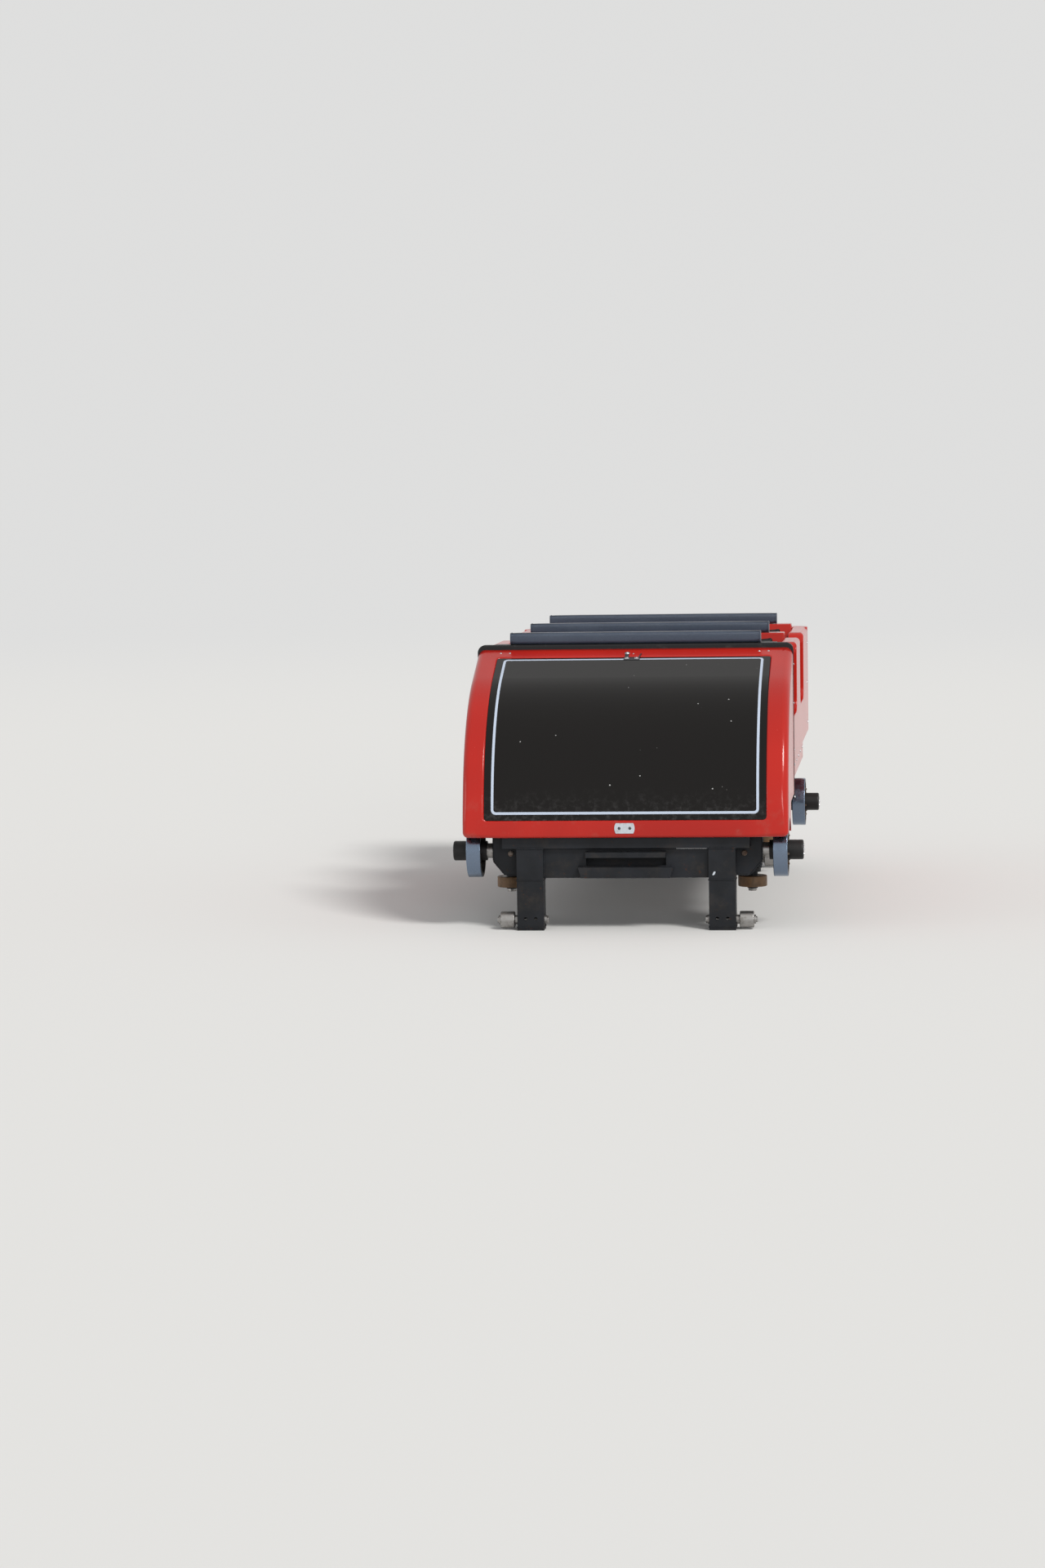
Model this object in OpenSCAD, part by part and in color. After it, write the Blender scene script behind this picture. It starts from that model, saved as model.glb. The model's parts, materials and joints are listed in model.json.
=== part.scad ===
// Lead car of a wooden roller coaster: a fibreglass body with two bench rows on a
// steel underframe with running, guide and up-stop wheels.
// Millimetres. The nose faces -Y and +Z is up; z = 0 is the floor under the feet.
// Each part is drawn in car places [x, s, h]: x sideways, s rearwards from the nose,
// h above the rail top. on_rail() then sets it on its feet.

/* [Body] */
// Width of the body shell
body_w = 1220; // [1180:10:1260]
// Length of the body from the nose to the rear wall
body_l = 2400; // [2380:10:2480]
// Height of the rail top above the feet
rail_h = 190; // [186:1:196]
// Height of the dash edge and of the side wings above the rail top
dash_h = 835; // [810:5:850]
// Height of the nose's lower edge above the rail top
skirt_h = 160; // [150:5:175]
// Height of the side walls' lower edge above the rail top
sill_h = 270; // [268:1:285]
// Height at which the side walls step out over the tucked sill
tuck_h = 390; // [370:5:410]
// Depth of the tuck in the sill
tuck_d = 25; // [15:1:35]
// Thickness of the double-skinned side walls
wall_t = 63; // [50:1:70]
// Thickness of the single fibreglass skins
skin_t = 14; // [12:1:16]
// Thickness of the floor
floor_t = 15; // [12:1:20]
// Corner radius of the rear wall in plan
rear_r = 60; // [50:5:80]

/* [Nose] */
// Height that the straight hood climbs above the curve
hood_rise = 93.5; // [85:0.5:100]
// Height above the rail top where the curve of the nose starts
curve_h = 200; // [190:5:210]
// Slope of the hood above level
hood_deg = 22; // [20:0.5:24]
// Radius of the rolled edge between front and sides
edge_r = 28; // [22:1:34]
// Red border left beside the black panel
border_x = 83; // [70:1:95]
// Red border left under the black panel
border_low = 67; // [60:1:80]
// Red border left above the black panel, along the hood
border_top = 72; // [60:1:85]
// Thickness of the black panel
panel_t = 5; // [4:0.5:6]
// Depth of the black panel's face behind the border
panel_sink = 3; // [1:0.5:3]
// Radius of the arch cut for the front wheels
arch_r = 120; // [115:1:122]

/* [Dash and pads] */
// Height of the black dash moulding
dash_t = 19; // [15:1:24]
// Depth of the dash moulding behind the seam
dash_d = 84; // [78:1:90]
// Height of the apron under the dash moulding's rear edge
apron_h = 50; // [40:2:60]
// Height of the crash pads
pad_h = 46; // [40:1:55]
// Depth of the crash pads
pad_d = 68; // [60:1:72]
// Distance of the crash pads' ends from the body's sides
pad_end = 122.5; // [110:0.5:140]
// Width of the black edging in the seam behind the nose
seam_w = 8; // [6:1:12]
// How far the edging stands out of the body side
seam_out = 2; // [1:0.5:4]
// Height of the edging's lower end above the rail top
seam_h = 250; // [245:1:262]

/* [Rows] */
// Distance from the rear seat back's foot to the corner posts of the rear wall
rear_gap = 46; // [40:1:56]
// How much further back than one row pitch the first bench stands
first_row = 140; // [136:1:146]
// Distance of each side wing's front edge behind its bench's riser
wing_in = 80; // [60:5:90]
// Length of the first side wing
wing_l = 375; // [360:5:385]
// Height of the entry sills above the rail top
entry_h = 560; // [540:5:580]
// Inner corner radius of the entry cut-outs
entry_r = 60; // [40:5:80]
// Corner radius on top of the side wings
wing_r = 45; // [30:5:60]
// Height of the bench's front edge above the rail top
bench_h = 500; // [490:5:510]
// Length of the bench top
bench_l = 350; // [340:5:360]
// Drop of the bench top from front to back
bench_drop = 25; // [15:1:30]
// Height of the seat back's top above the rail top
back_h = 856; // [850:1:870]
// Lean of the seat back's front from the bench to its top edge
back_lean = 72; // [60:1:80]
// Depth of the seat back at its top
back_d = 96; // [90:1:104]
// Place of the seat back's rear foot behind its top rear edge
back_foot = 16; // [8:1:20]
// Thickness of the seat shells
seat_t = 12; // [10:1:14]
// Gap between each cushion and the middle of the car
cushion_mid = 4; // [3:0.5:8]
// Gap between each cushion and the side wall
cushion_side = 23; // [18:1:30]
// Thickness of the seat cushions
cushion_h = 82; // [70:1:90]
// Thickness of the back cushions
back_pad_t = 60; // [50:1:70]
// Corner radius of the cushions
cushion_r = 22; // [15:1:28]

/* [Lap bars] */
// Distance of each lap bar's pivot in front of its bench's riser
bar_before = 180; // [170:1:190]
// Height of the lap bar's pivot above the rail top
bar_pivot_h = 470; // [460:1:480]
// Distance of the bar behind its pivot
bar_reach = 280; // [270:1:290]
// Height of the bar above its pivot
bar_rise = 290; // [280:1:300]
// Diameter of the bar's tube
bar_d = 38; // [32:1:42]
// Distance of each arm's middle from the side wall
bar_arm_in = 42; // [38:1:46]
// Diameter of the foam pads on the bar
bar_pad_d = 88; // [80:1:95]
// Gap between each foam pad and the middle of the car
bar_pad_mid = 25; // [15:1:35]
// Distance of each foam pad's outer end from the arm's middle
bar_pad_out = 80; // [60:5:110]
// Diameter of the pivot pins
bar_pin_d = 20; // [16:1:24]
// Diameter of the eyes on the arms
bar_eye_d = 56; // [50:1:60]
// Thickness of the eyes on the arms
bar_eye_t = 16; // [12:1:20]
// Length of the lugs' square plates
lug_l = 80; // [70:2:90]

/* [Underframe] */
// Distance of the chassis rails and the legs from the car's middle
frame_x = 360; // [355:1:365]
// Width of the chassis rails
rail_w = 60; // [50:1:70]
// Height of the top of the axle beams above the rail top
beam_h = 165; // [160:1:170]
// Wall of the chassis rails and cross members
rail_t = 8; // [6:0.5:10]
// Place of the first cross member
cross_first = 620; // [600:5:640]
// Distance between the cross members
cross_pitch = 440; // [430:2:450]
// Width of the cross members along the car
cross_w = 60; // [50:1:64]
// Height of the cross members
cross_h = 70; // [60:1:76]
// Height of the bearers outside the chassis rails
bearer_h = 40; // [30:1:50]
// Place of the front axle
axle_s = 150; // [150:1:154]
// Distance of the rear axle from the rear wall
rear_axle_in = 300; // [290:5:330]
// Depth of the axle beams along the car
beam_d = 80; // [76:1:84]
// Half length of the axle beams
beam_x = 507; // [500:1:510]
// Half length of the axle beams at their lower edge
beam_low_x = 464; // [450:1:470]
// Height where the beams' ends start to taper
beam_end_h = 64; // [60:1:68]
// Height of the axle beams' lower edge above the rail top
beam_low_h = 10; // [8:1:14]
// Wall of the axle beams
beam_t = 10; // [8:1:12]
// Width of the legs
leg_w = 100; // [94:1:104]
// Depth of the legs along the car
leg_d = 78; // [74:1:78]
// Wall of the legs
leg_t = 8; // [6:0.5:10]
// Height of the top of the legs above the rail top
leg_top_h = 118; // [114:1:122]
// Thickness of the foot plates
foot_t = 12; // [8:1:14]
// Height of the shoe holes above the floor
shoe_hole_z = 44; // [40:1:50]
// Distance between the two shoe holes
shoe_gap = 39; // [36:1:42]
// Diameter of the shoe holes
shoe_hole_d = 13; // [11:0.5:14]

/* [Wheels] */
// Diameter of the running wheels
wheel_d = 200; // [196:1:202]
// Width of the running wheels' tread
wheel_w = 54; // [50:1:56]
// Distance of the tread's inner edge from the car's middle
wheel_x = 549; // [545:1:552]
// Distance of the hub's outer end from the car's middle
hub_x = 660; // [655:1:665]
// Diameter of the hubs
hub_d = 74; // [70:1:78]
// Diameter of the axle stubs
stub_d = 40; // [36:1:44]
// Diameter of the spacer collars inside the wheels
collar_d = 56; // [50:1:60]
// Length of the spacer collars
collar_l = 25; // [22:1:27]
// Diameter of the up-stop rollers
roller_d = 62; // [58:1:63]
// Width of the up-stop rollers
roller_w = 53; // [48:1:54]
// Gap between each leg and its roller
roller_gap = 13; // [11:1:15]
// Gap between the up-stop rollers and the floor
roller_clear = 6; // [5:1:8]
// Diameter of the up-stop rollers' pins
roller_pin_d = 22; // [20:1:25]
// Diameter of the guide wheels
guide_d = 110; // [100:1:116]
// Thickness of the guide wheels
guide_t = 40; // [36:1:44]
// Distance of the guide wheels' axes from the car's middle
guide_x = 460; // [455:1:464]
// Distance of the guide wheels from their axle, along the car
guide_off = 165; // [160:1:175]
// Depth of the guide wheels' top face under the rail top
guide_drop = 15; // [12:1:20]
// Diameter of the guide wheels' pins
guide_pin_d = 24; // [22:1:28]
// Radial clearance of the wheels on their pins
wheel_fit = 0.05; // [0.02:0.01:0.08]

/* [Coupling] */
// Half width of the front plate
plate_x = 310; // [309:0.5:310]
// Height of the plate's lower edge above the rail top
plate_low_h = 6; // [4:1:8]
// Thickness of the end plates
plate_t = 14; // [12:1:16]
// Height of the middle of the coupling above the rail top
couple_h = 67; // [66:1:68]
// Height of the coupling slot
slot_h = 36; // [34:1:38]
// Width of the coupling slot
slot_w = 300; // [280:5:310]
// Thickness of the pocket's upper lip
lip_top_t = 20; // [16:1:24]
// Thickness of the pocket's lower lip
lip_low_t = 40; // [30:1:42]
// Diameter of the coupling pins
pin_d = 26; // [24:1:28]
// Radial clearance of the coupling pins
pin_fit = 0.1; // [0.05:0.01:0.1]
// Thickness of the drawbar
bar_t = 26; // [22:1:28]
// Width of the drawbar
bar_w = 60; // [50:1:70]
// Radius of the drawbar's eyes
bar_r = 44; // [40:1:48]
// Length of the drawbar between its pins
bar_l = 340; // [330:1:350]
// Distance of the drawbar's pin behind the rear plate
yaw_d = 66; // [60:1:72]

/* [Chain dog] */
// Distance of the chain dog's pivot behind the front of the middle cross member
dog_off = 70; // [66:1:74]
// Height of the chain dog's pivot above the rail top
dog_h = 120; // [115:1:125]
// Thickness of the chain dog
dog_t = 30; // [26:1:34]
// Depth of the dog's tip under the rail top
dog_tip = 70; // [60:1:80]
// Diameter of the chain dog's pin
dog_pin_d = 25; // [22:1:28]
// Diameter of the chain dog's eye
dog_eye_d = 60; // [56:1:64]
// Length of the hook behind the chain dog's pivot
dog_hook = 60; // [50:1:70]

/* [Brake plates] */
// Distance of the wear plates from the car's middle
wear_x = 175; // [170:1:180]
// Width of the wear plates
wear_w = 64; // [56:1:70]
// Thickness of the wear plates
wear_t = 12; // [10:1:16]
// Height of the wear plates' lower face above the rail top
wear_h = 20; // [15:1:25]
// Distance of the wear plates' ends from the axles
wear_in = 270; // [250:5:290]

/* [Screw plate] */
// Length of the silver plate under the panel
badge_w = 76; // [70:1:80]
// Height of the silver plate
badge_h = 39; // [36:1:40]
// Thickness of the silver plate
badge_t = 2; // [1.5:0.5:3]
// Height of its middle above the rail top
badge_mid_h = 197; // [194:1:199]

/* [Hidden] */
$fn = 48;

red = "firebrick";
steel = "silver";
black = "#202224";

// A cut reaches this far past the face it opens
cut = 2;
// Soft parts and neighbouring panels stand this far off each other
seat_gap = 0.3;

half_w = body_w / 2;
wall_in = half_w - wall_t;
nose_in = half_w - skin_t;
nose_r = (dash_h - curve_h - hood_rise) / cos(hood_deg);

// Places on the nose's side view, t inside its outer surface
function hood_s(t) = nose_r - (nose_r - t) * sin(hood_deg);
function hood_h(t) = curve_h + (nose_r - t) * cos(hood_deg);
// Place of the nose's curve at height h, t inside its outer surface
function on_curve(h, t) = nose_r - sqrt((nose_r - t) * (nose_r - t) - (h - curve_h) * (h - curve_h));
function on_hood(s, t) = hood_h(t) + (s - hood_s(t)) * tan(hood_deg);

nose_l = hood_s(0) + (dash_h - hood_h(0)) / tan(hood_deg);
hood_l = (nose_l - hood_s(0)) / cos(hood_deg);
wall_s = nose_l + seam_w;
wall_end = body_l - 2 * rear_r;
floor_h = sill_h + floor_t;
rear_axle_s = body_l - rear_axle_in;

// Rows: two benches share what is left between the nose's knee room and the rear wall
seat_l = bench_l + back_lean + back_d + back_foot;
row_pitch = (wall_end - rear_gap - seat_l - first_row) / 2;
bench_s = row_pitch + first_row;
back_s = bench_s + bench_l + back_lean;
wing_s = bench_s + wing_in;
bar_pivot_s = bench_s - bar_before;
cushion_w = wall_in - cushion_mid - cushion_side;
bar_arm_x = wall_in - bar_arm_in;
bar_pad_l = bar_arm_x - bar_pad_mid - bar_pad_out;

rear_plate_s = rear_axle_s + beam_d / 2 + leg_d - plate_t;
yaw_s = rear_plate_s + plate_t + yaw_d;
bar_end_s = yaw_s + bar_l + bar_r;
nose_y = -(bar_end_s - badge_t / 2) / 2 + badge_t / 4;
leg_foot_h = -rail_h;
roller_h = roller_d / 2 + roller_clear - rail_h;

// Seats of the front legs and of the rear legs, along the car
leg_ends = [axle_s - beam_d / 2 - leg_d, rear_axle_s + beam_d / 2];
axles = [axle_s, rear_axle_s];
guides = [axle_s + guide_off, rear_axle_s - guide_off];
cross_s = [cross_first, cross_first + cross_pitch, cross_first + 2 * cross_pitch];
dog_s = cross_s[1] + dog_off;

// Drawing helpers

module on_rail() { translate([0, nose_y, rail_h]) children(); }

// A drawing in [s, h], filled from x0 to x1
module across(x0, x1) {
    translate([x0, 0, 0]) rotate([90, 0, 90]) linear_extrude(x1 - x0) children();
}

// A drawing in [x, h], filled from s0 to s1
module along(s0, s1) {
    translate([0, s1, 0]) rotate([90, 0, 0]) linear_extrude(s1 - s0) children();
}

// A drawing in [x, s], filled from h0 to h1
module upright(h0, h1) {
    translate([0, 0, h0]) linear_extrude(h1 - h0) children();
}

module block(x0, x1, s0, s1, h0, h1) {
    translate([x0, s0, h0]) cube([x1 - x0, s1 - s0, h1 - h0]);
}

module both_sides() {
    children();
    mirror([1, 0, 0]) children();
}

module rod_x(x0, x1, s, h, d) {
    translate([x0, s, h]) rotate([0, 90, 0]) cylinder(h = x1 - x0, d = d);
}

module rod_z(x, s, h0, h1, d) {
    translate([x, s, h0]) cylinder(h = h1 - h0, d = d);
}

// A square from one corner to the other with round corners
module soft_square(x0, y0, x1, y1, r) {
    translate([x0 + r, y0]) square([x1 - x0 - 2 * r, y1 - y0]);
    translate([x0, y0 + r]) square([x1 - x0, y1 - y0 - 2 * r]);
    for (x = [x0 + r, x1 - r], y = [y0 + r, y1 - r]) translate([x, y]) circle(r);
}

// What a round convex corner of radius r leaves over; the body lies towards -dx, -dy
module corner_waste(x, y, dx, dy, r) {
    difference() {
        translate([dx > 0 ? x - r : x - cut, dy > 0 ? y - r : y - cut]) square(r + cut);
        translate([x - dx * r, y - dy * r]) circle(r);
    }
}

// A channel open to one side: width w along x, height h along y, wall t
module channel(w, h, t) {
    difference() {
        square([w, h]);
        translate([t, t]) square([w, h - 2 * t]);
    }
}

// Nose

// Angles about the middle of the nose's curve at which the hood meets it, and at which a
// surface d behind it passes height h
hood_turn = 90 + hood_deg;
function low_turn(h, d) = 180 + asin((curve_h - h) / (nose_r - d));

// A section in [depth behind the surface, x] swept up the nose's curve from the angle
// turn and then straight along the hood for the length flat
module nose_sweep(turn, flat) {
    translate([0, nose_r, curve_h]) rotate([90, 0, 90]) rotate([0, 0, hood_turn]) {
        rotate_extrude(angle = turn - hood_turn, $fn = 96)
            translate([nose_r, 0]) mirror([1, 0]) children();
        rotate([90, 0, 0]) linear_extrude(flat)
            translate([nose_r, 0]) mirror([1, 0]) children();
    }
}

// Front skin with its rolled edges and the flanges that lap the side skins
module nose_section(flange) {
    difference() {
        union() {
            translate([edge_r, -half_w]) square([flange - edge_r, body_w]);
            translate([0, edge_r - half_w]) square([flange, body_w - 2 * edge_r]);
            for (x = [-1, 1]) translate([edge_r, x * (half_w - edge_r)]) circle(edge_r);
        }
        translate([edge_r, -nose_in]) square([flange, 2 * nose_in]);
        translate([skin_t, edge_r - half_w]) square([flange, body_w - 2 * edge_r]);
        for (x = [-1, 1]) translate([edge_r, x * (half_w - edge_r)]) circle(edge_r - skin_t);
    }
}

// Side view of the nose, t inside its outer surface
module nose_side(t) {
    polygon([[hood_s(t), skirt_h], [hood_s(t), hood_h(t)],
             [nose_l, on_hood(nose_l, t)], [nose_l, skirt_h]]);
    intersection() {
        translate([nose_r, curve_h]) circle(nose_r - t, $fn = 96);
        translate([0, skirt_h]) square([nose_r, hood_h(t) - skirt_h]);
    }
}

module nose_shell() {
    flange = 60;
    low_s = axle_s + arch_r;
    x0 = -half_w - cut;
    x1 = half_w + cut;
    color(red) on_rail() difference() {
        union() {
            nose_sweep(low_turn(skirt_h - 3 * cut, flange), hood_l + flange) nose_section(flange);
            both_sides() across(nose_in, half_w) nose_side(flange - skin_t);
        }
        // the sweep's ends under the skirt and behind the seam
        block(x0, x1, -cut, nose_l, skirt_h - flange, skirt_h);
        block(x0, x1, nose_l, nose_l + 2 * flange, skirt_h, dash_h + 2 * flange);
        // wheel arches, and the raised lower edge behind them
        rod_x(x0, x1, axle_s, wheel_d / 2, 2 * arch_r);
        block(x0, x1, axle_s, low_s + cut, skirt_h - cut, wheel_d / 2 + arch_r / 2);
        block(x0, x1, low_s, nose_l + cut, skirt_h - cut, sill_h);
        panel_place(-cut, panel_sink + panel_t);
    }
}

// The black panel's place between two depths
module panel_place(d0, d1) {
    half = half_w - border_x;
    nose_sweep(low_turn(skirt_h + border_low, 0), hood_l - border_top)
        translate([d0, -half]) square([d1 - d0, 2 * half]);
}

module nose_panel() {
    color(black) on_rail() panel_place(panel_sink, panel_sink + panel_t);
}

module screw_plate() {
    color(steel) on_rail() difference() {
        along(-badge_t, 0) intersection() {
            translate([-badge_w / 2, badge_mid_h - badge_h / 2]) square([badge_w, badge_h]);
            translate([0, badge_mid_h]) circle(badge_w / 2);
        }
        for (x = [-1, 1]) translate([x * 20, cut, badge_mid_h]) rotate([90, 0, 0])
            cylinder(h = 2 * cut + badge_t, d = 6);
    }
}

module seam_edging() {
    color(black) on_rail() both_sides()
        block(nose_in, half_w + seam_out, nose_l, wall_s, seam_h, dash_h - edge_r);
}

module dash_bulkhead() {
    low = 640;
    front = nose_l - skin_t;
    inner_r = edge_r - skin_t;
    shoulder = on_hood(front, skin_t) - inner_r;
    color(black) on_rail() {
        across(seat_gap - nose_in, nose_in - seat_gap)
            polygon([[front, low], [front, shoulder], [nose_l, shoulder], [nose_l, low]]);
        across(inner_r - nose_in, nose_in - inner_r) polygon([
            [front, low], [front, on_hood(front, skin_t) - seat_gap],
            [nose_l, on_hood(nose_l, skin_t) - seat_gap], [nose_l, low]]);
    }
}

// The dash seen from the front: a bar across the car with the nose's round corners, t outside them
module dash_end(t, top) {
    soft_square(-half_w - t, skirt_h, half_w + t, top, edge_r + t);
}

module dash_cap() {
    back = nose_l + dash_d;
    front_d = 30;
    lip = 12;
    flange = 10;
    color(black) on_rail() {
        difference() {
            intersection() {
                across(-half_w - seam_out, half_w + seam_out) difference() {
                    polygon([[nose_l, dash_h - edge_r], [wall_s, dash_h - edge_r], [wall_s, dash_h],
                             [nose_l + front_d, dash_h], [nose_l + front_d, dash_h + dash_t],
                             [nose_l, dash_h + dash_t]]);
                    corner_waste(nose_l, dash_h + dash_t, -1, 1, 7);
                }
                along(nose_l - cut, nose_l + front_d + cut) dash_end(seam_out, dash_h + dash_t);
            }
            along(nose_l - cut, wall_s + cut) dash_end(-flange, dash_h - flange);
        }
        across(-wall_in, wall_in) difference() {
            polygon([[nose_l + front_d - 10, dash_h], [back - lip, dash_h],
                     [back - lip, dash_h - apron_h], [back, dash_h - apron_h],
                     [back, dash_h + dash_t], [nose_l + front_d - 10, dash_h + dash_t]]);
            corner_waste(back, dash_h + dash_t, 1, 1, 7);
        }
    }
}

module crash_pad(s, h) {
    across(pad_end - half_w, half_w - pad_end) soft_square(s, h, s + pad_d, h + pad_h, 15);
}

module dash_pad() {
    color(black) on_rail() crash_pad(nose_l + 5, dash_h + dash_t);
}

// Body

// Cross-section of a side wall in [x, h]
module wall_section() {
    top_r = 18;
    difference() {
        union() {
            translate([wall_in, tuck_h]) square([wall_t, dash_h - tuck_h]);
            translate([wall_in, sill_h]) square([wall_t - tuck_d, tuck_h - sill_h + 1]);
            polygon([[half_w - tuck_d, tuck_h - 12], [half_w, tuck_h], [half_w - tuck_d, tuck_h + 1]]);
        }
        corner_waste(half_w, dash_h, 1, 1, top_r);
        corner_waste(wall_in, dash_h, -1, 1, top_r / 2);
    }
}

// The open space over an entry sill, in [s, h]
module entry(s0, s1) {
    tall = dash_h - entry_h + cut;
    translate([s0 + entry_r, entry_h]) square([s1 - s0 - 2 * entry_r, tall]);
    translate([s0, entry_h + entry_r]) square([s1 - s0, tall - entry_r]);
    for (s = [s0 + entry_r, s1 - entry_r]) translate([s, entry_h + entry_r]) circle(entry_r);
}

module side_wall() {
    wing_end = wing_s + wing_l;
    intersection() {
        across(wall_in - cut, half_w + cut) difference() {
            translate([wall_s, sill_h]) square([wall_end - seat_gap - wall_s, dash_h - sill_h]);
            entry(wall_s - entry_r, wing_s);
            entry(wing_end, wing_s + row_pitch);
            corner_waste(wing_s, dash_h, -1, 1, wing_r);
            corner_waste(wing_end, dash_h, 1, 1, wing_r / 2);
            corner_waste(wing_s + row_pitch, dash_h, -1, 1, wing_r);
        }
        along(wall_s - cut, wall_end + cut) wall_section();
    }
}

module side_wall_left() { color(red) on_rail() mirror([1, 0, 0]) side_wall(); }

module side_wall_right() { color(red) on_rail() side_wall(); }

// Plan of the rear end in [x, s], t inside its outer face
module rear_plan(t) {
    translate([t - half_w, wall_end]) square([body_w - 2 * t, body_l - rear_r - wall_end]);
    translate([rear_r - half_w, wall_end]) square([body_w - 2 * rear_r, body_l - t - wall_end]);
    for (x = [-1, 1]) translate([x * (half_w - rear_r), body_l - rear_r]) circle(rear_r - t);
}

module rear_shell() {
    seat_rear = back_s + row_pitch + back_d + back_foot;
    color(red) on_rail() {
        difference() {
            union() {
                upright(tuck_h, dash_h) rear_plan(0);
                upright(sill_h, tuck_h) rear_plan(tuck_d);
            }
            upright(sill_h - cut, dash_h - skin_t) rear_plan(tuck_d + skin_t);
            block(-wall_in, wall_in, wall_end - cut, wall_end + skin_t, sill_h - cut, dash_h - skin_t);
        }
        block(-wall_in, wall_in, seat_rear, wall_end, dash_h - skin_t, dash_h);
    }
}

module floor_pan() {
    front = on_curve(floor_h, skin_t);
    inner_r = edge_r - skin_t;
    color("dimgray") on_rail() upright(sill_h, floor_h) {
        translate([inner_r - nose_in, front]) square([2 * (nose_in - inner_r), inner_r + 1]);
        translate([-nose_in, front + inner_r]) square([2 * nose_in, nose_l - front - inner_r]);
        translate([-wall_in, nose_l - 1]) square([2 * wall_in, wall_end + skin_t - nose_l + 1]);
    }
}

// Seats

// Side view of a bench box with its back, t inside its outer face
module seat_side(t) {
    rear_top = back_s + back_d;
    polygon([
        [bench_s + t, floor_h - (t > 0 ? cut : 0)],
        [bench_s + t, bench_h - t],
        [bench_s + bench_l, bench_h - bench_drop - t],
        [back_s + t, back_h - t],
        [rear_top - t, back_h - t],
        [rear_top + back_foot - t, floor_h - (t > 0 ? cut : 0)]
    ]);
}

module seat_shell(row) {
    translate([0, row * row_pitch, 0]) across(-wall_in, wall_in) difference() {
        seat_side(0);
        seat_side(seat_t);
    }
}

module seat_shell_front() { color(red) on_rail() seat_shell(0); }

module seat_shell_rear() { color(red) on_rail() seat_shell(1); }

module seat_cushions() {
    fall = atan(bench_drop / bench_l);
    color(black) on_rail() for (row = [0, 1], side = [-1, 1])
        translate([side * (cushion_w / 2 + cushion_mid), bench_s + row * row_pitch, bench_h + seat_gap])
            rotate([-fall, 0, 0]) across(-cushion_w / 2, cushion_w / 2)
                soft_square(0, 0, bench_l - back_pad_t + 10, cushion_h, cushion_r);
}

module back_cushions() {
    low_s = bench_s + bench_l;
    low_h = bench_h - bench_drop;
    lean = atan((back_s - low_s) / (back_h - low_h));
    tall = (back_h - low_h) / cos(lean) - 14;
    color(black) on_rail() for (row = [0, 1], side = [-1, 1])
        translate([side * (cushion_w / 2 + cushion_mid), low_s - seat_gap + row * row_pitch, low_h])
            rotate([-lean, 0, 0]) across(-cushion_w / 2, cushion_w / 2)
                soft_square(-back_pad_t, cushion_h + 20, 0, tall, cushion_r);
}

module seat_back_pads() {
    color(black) on_rail() for (row = [0, 1])
        crash_pad(back_s + (back_d - pad_d) / 2 + row * row_pitch, back_h);
}

// Lap bars

// Plates on the side walls with the pins of the lap bars
module lap_bar_lugs() {
    lug_in = bar_arm_x + bar_d / 2 + 4;
    half = lug_l / 2;
    color(steel) on_rail() for (row = [0, 1]) translate([0, row * row_pitch, 0]) both_sides() {
        across(lug_in, wall_in) soft_square(
            bar_pivot_s - half, bar_pivot_h - half, bar_pivot_s + half, bar_pivot_h + half, 12);
        rod_x(bar_arm_x - bar_eye_t / 2 - 1, lug_in + 1, bar_pivot_s, bar_pivot_h, bar_pin_d);
        rod_x(bar_arm_x - bar_eye_t / 2 - 8, bar_arm_x - bar_eye_t / 2 - 1,
              bar_pivot_s, bar_pivot_h, bar_pin_d + 12);
    }
}

module lap_bar() {
    lean = atan2(bar_rise, bar_reach);
    arm_l = sqrt(bar_rise * bar_rise + bar_reach * bar_reach);
    bore = bar_pin_d + 2 * wheel_fit;
    translate([0, bar_pivot_s, bar_pivot_h]) difference() {
        union() {
            both_sides() {
                rod_x(bar_arm_x - bar_eye_t / 2, bar_arm_x + bar_eye_t / 2, 0, 0, bar_eye_d);
                translate([bar_arm_x, 0, 0]) rotate([lean - 90, 0, 0])
                    translate([0, 0, bar_eye_d / 2 - 4]) cylinder(h = arm_l - bar_eye_d / 2 + 4, d = bar_d);
                translate([bar_arm_x, bar_reach, bar_rise]) sphere(d = bar_d + 3);
            }
            rod_x(-bar_arm_x, bar_arm_x, bar_reach, bar_rise, bar_d);
        }
        rod_x(-bar_arm_x - bar_eye_t, bar_arm_x + bar_eye_t, 0, 0, bore);
    }
}

module lap_pads() {
    mid = bar_pad_l / 2 + bar_pad_mid;
    translate([0, bar_pivot_s + bar_reach, bar_pivot_h + bar_rise]) difference() {
        for (side = [-1, 1])
            rod_x(side * mid - bar_pad_l / 2, side * mid + bar_pad_l / 2, 0, 0, bar_pad_d);
        rod_x(-mid - bar_pad_l, mid + bar_pad_l, 0, 0, bar_d);
    }
}

module lap_bar_front() { color(steel) on_rail() lap_bar(); }

module lap_pads_front() { color(black) on_rail() lap_pads(); }

module lap_bar_rear() { color(steel) on_rail() translate([0, row_pitch, 0]) lap_bar(); }

module lap_pads_rear() { color(black) on_rail() translate([0, row_pitch, 0]) lap_pads(); }

// Underframe

module chassis_rails() {
    front = leg_ends[0];
    back = leg_ends[1] + leg_d;
    color(black) on_rail() both_sides() along(front, back)
        translate([frame_x - rail_w / 2, beam_h]) channel(rail_w, sill_h - beam_h, rail_t);
}

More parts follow.
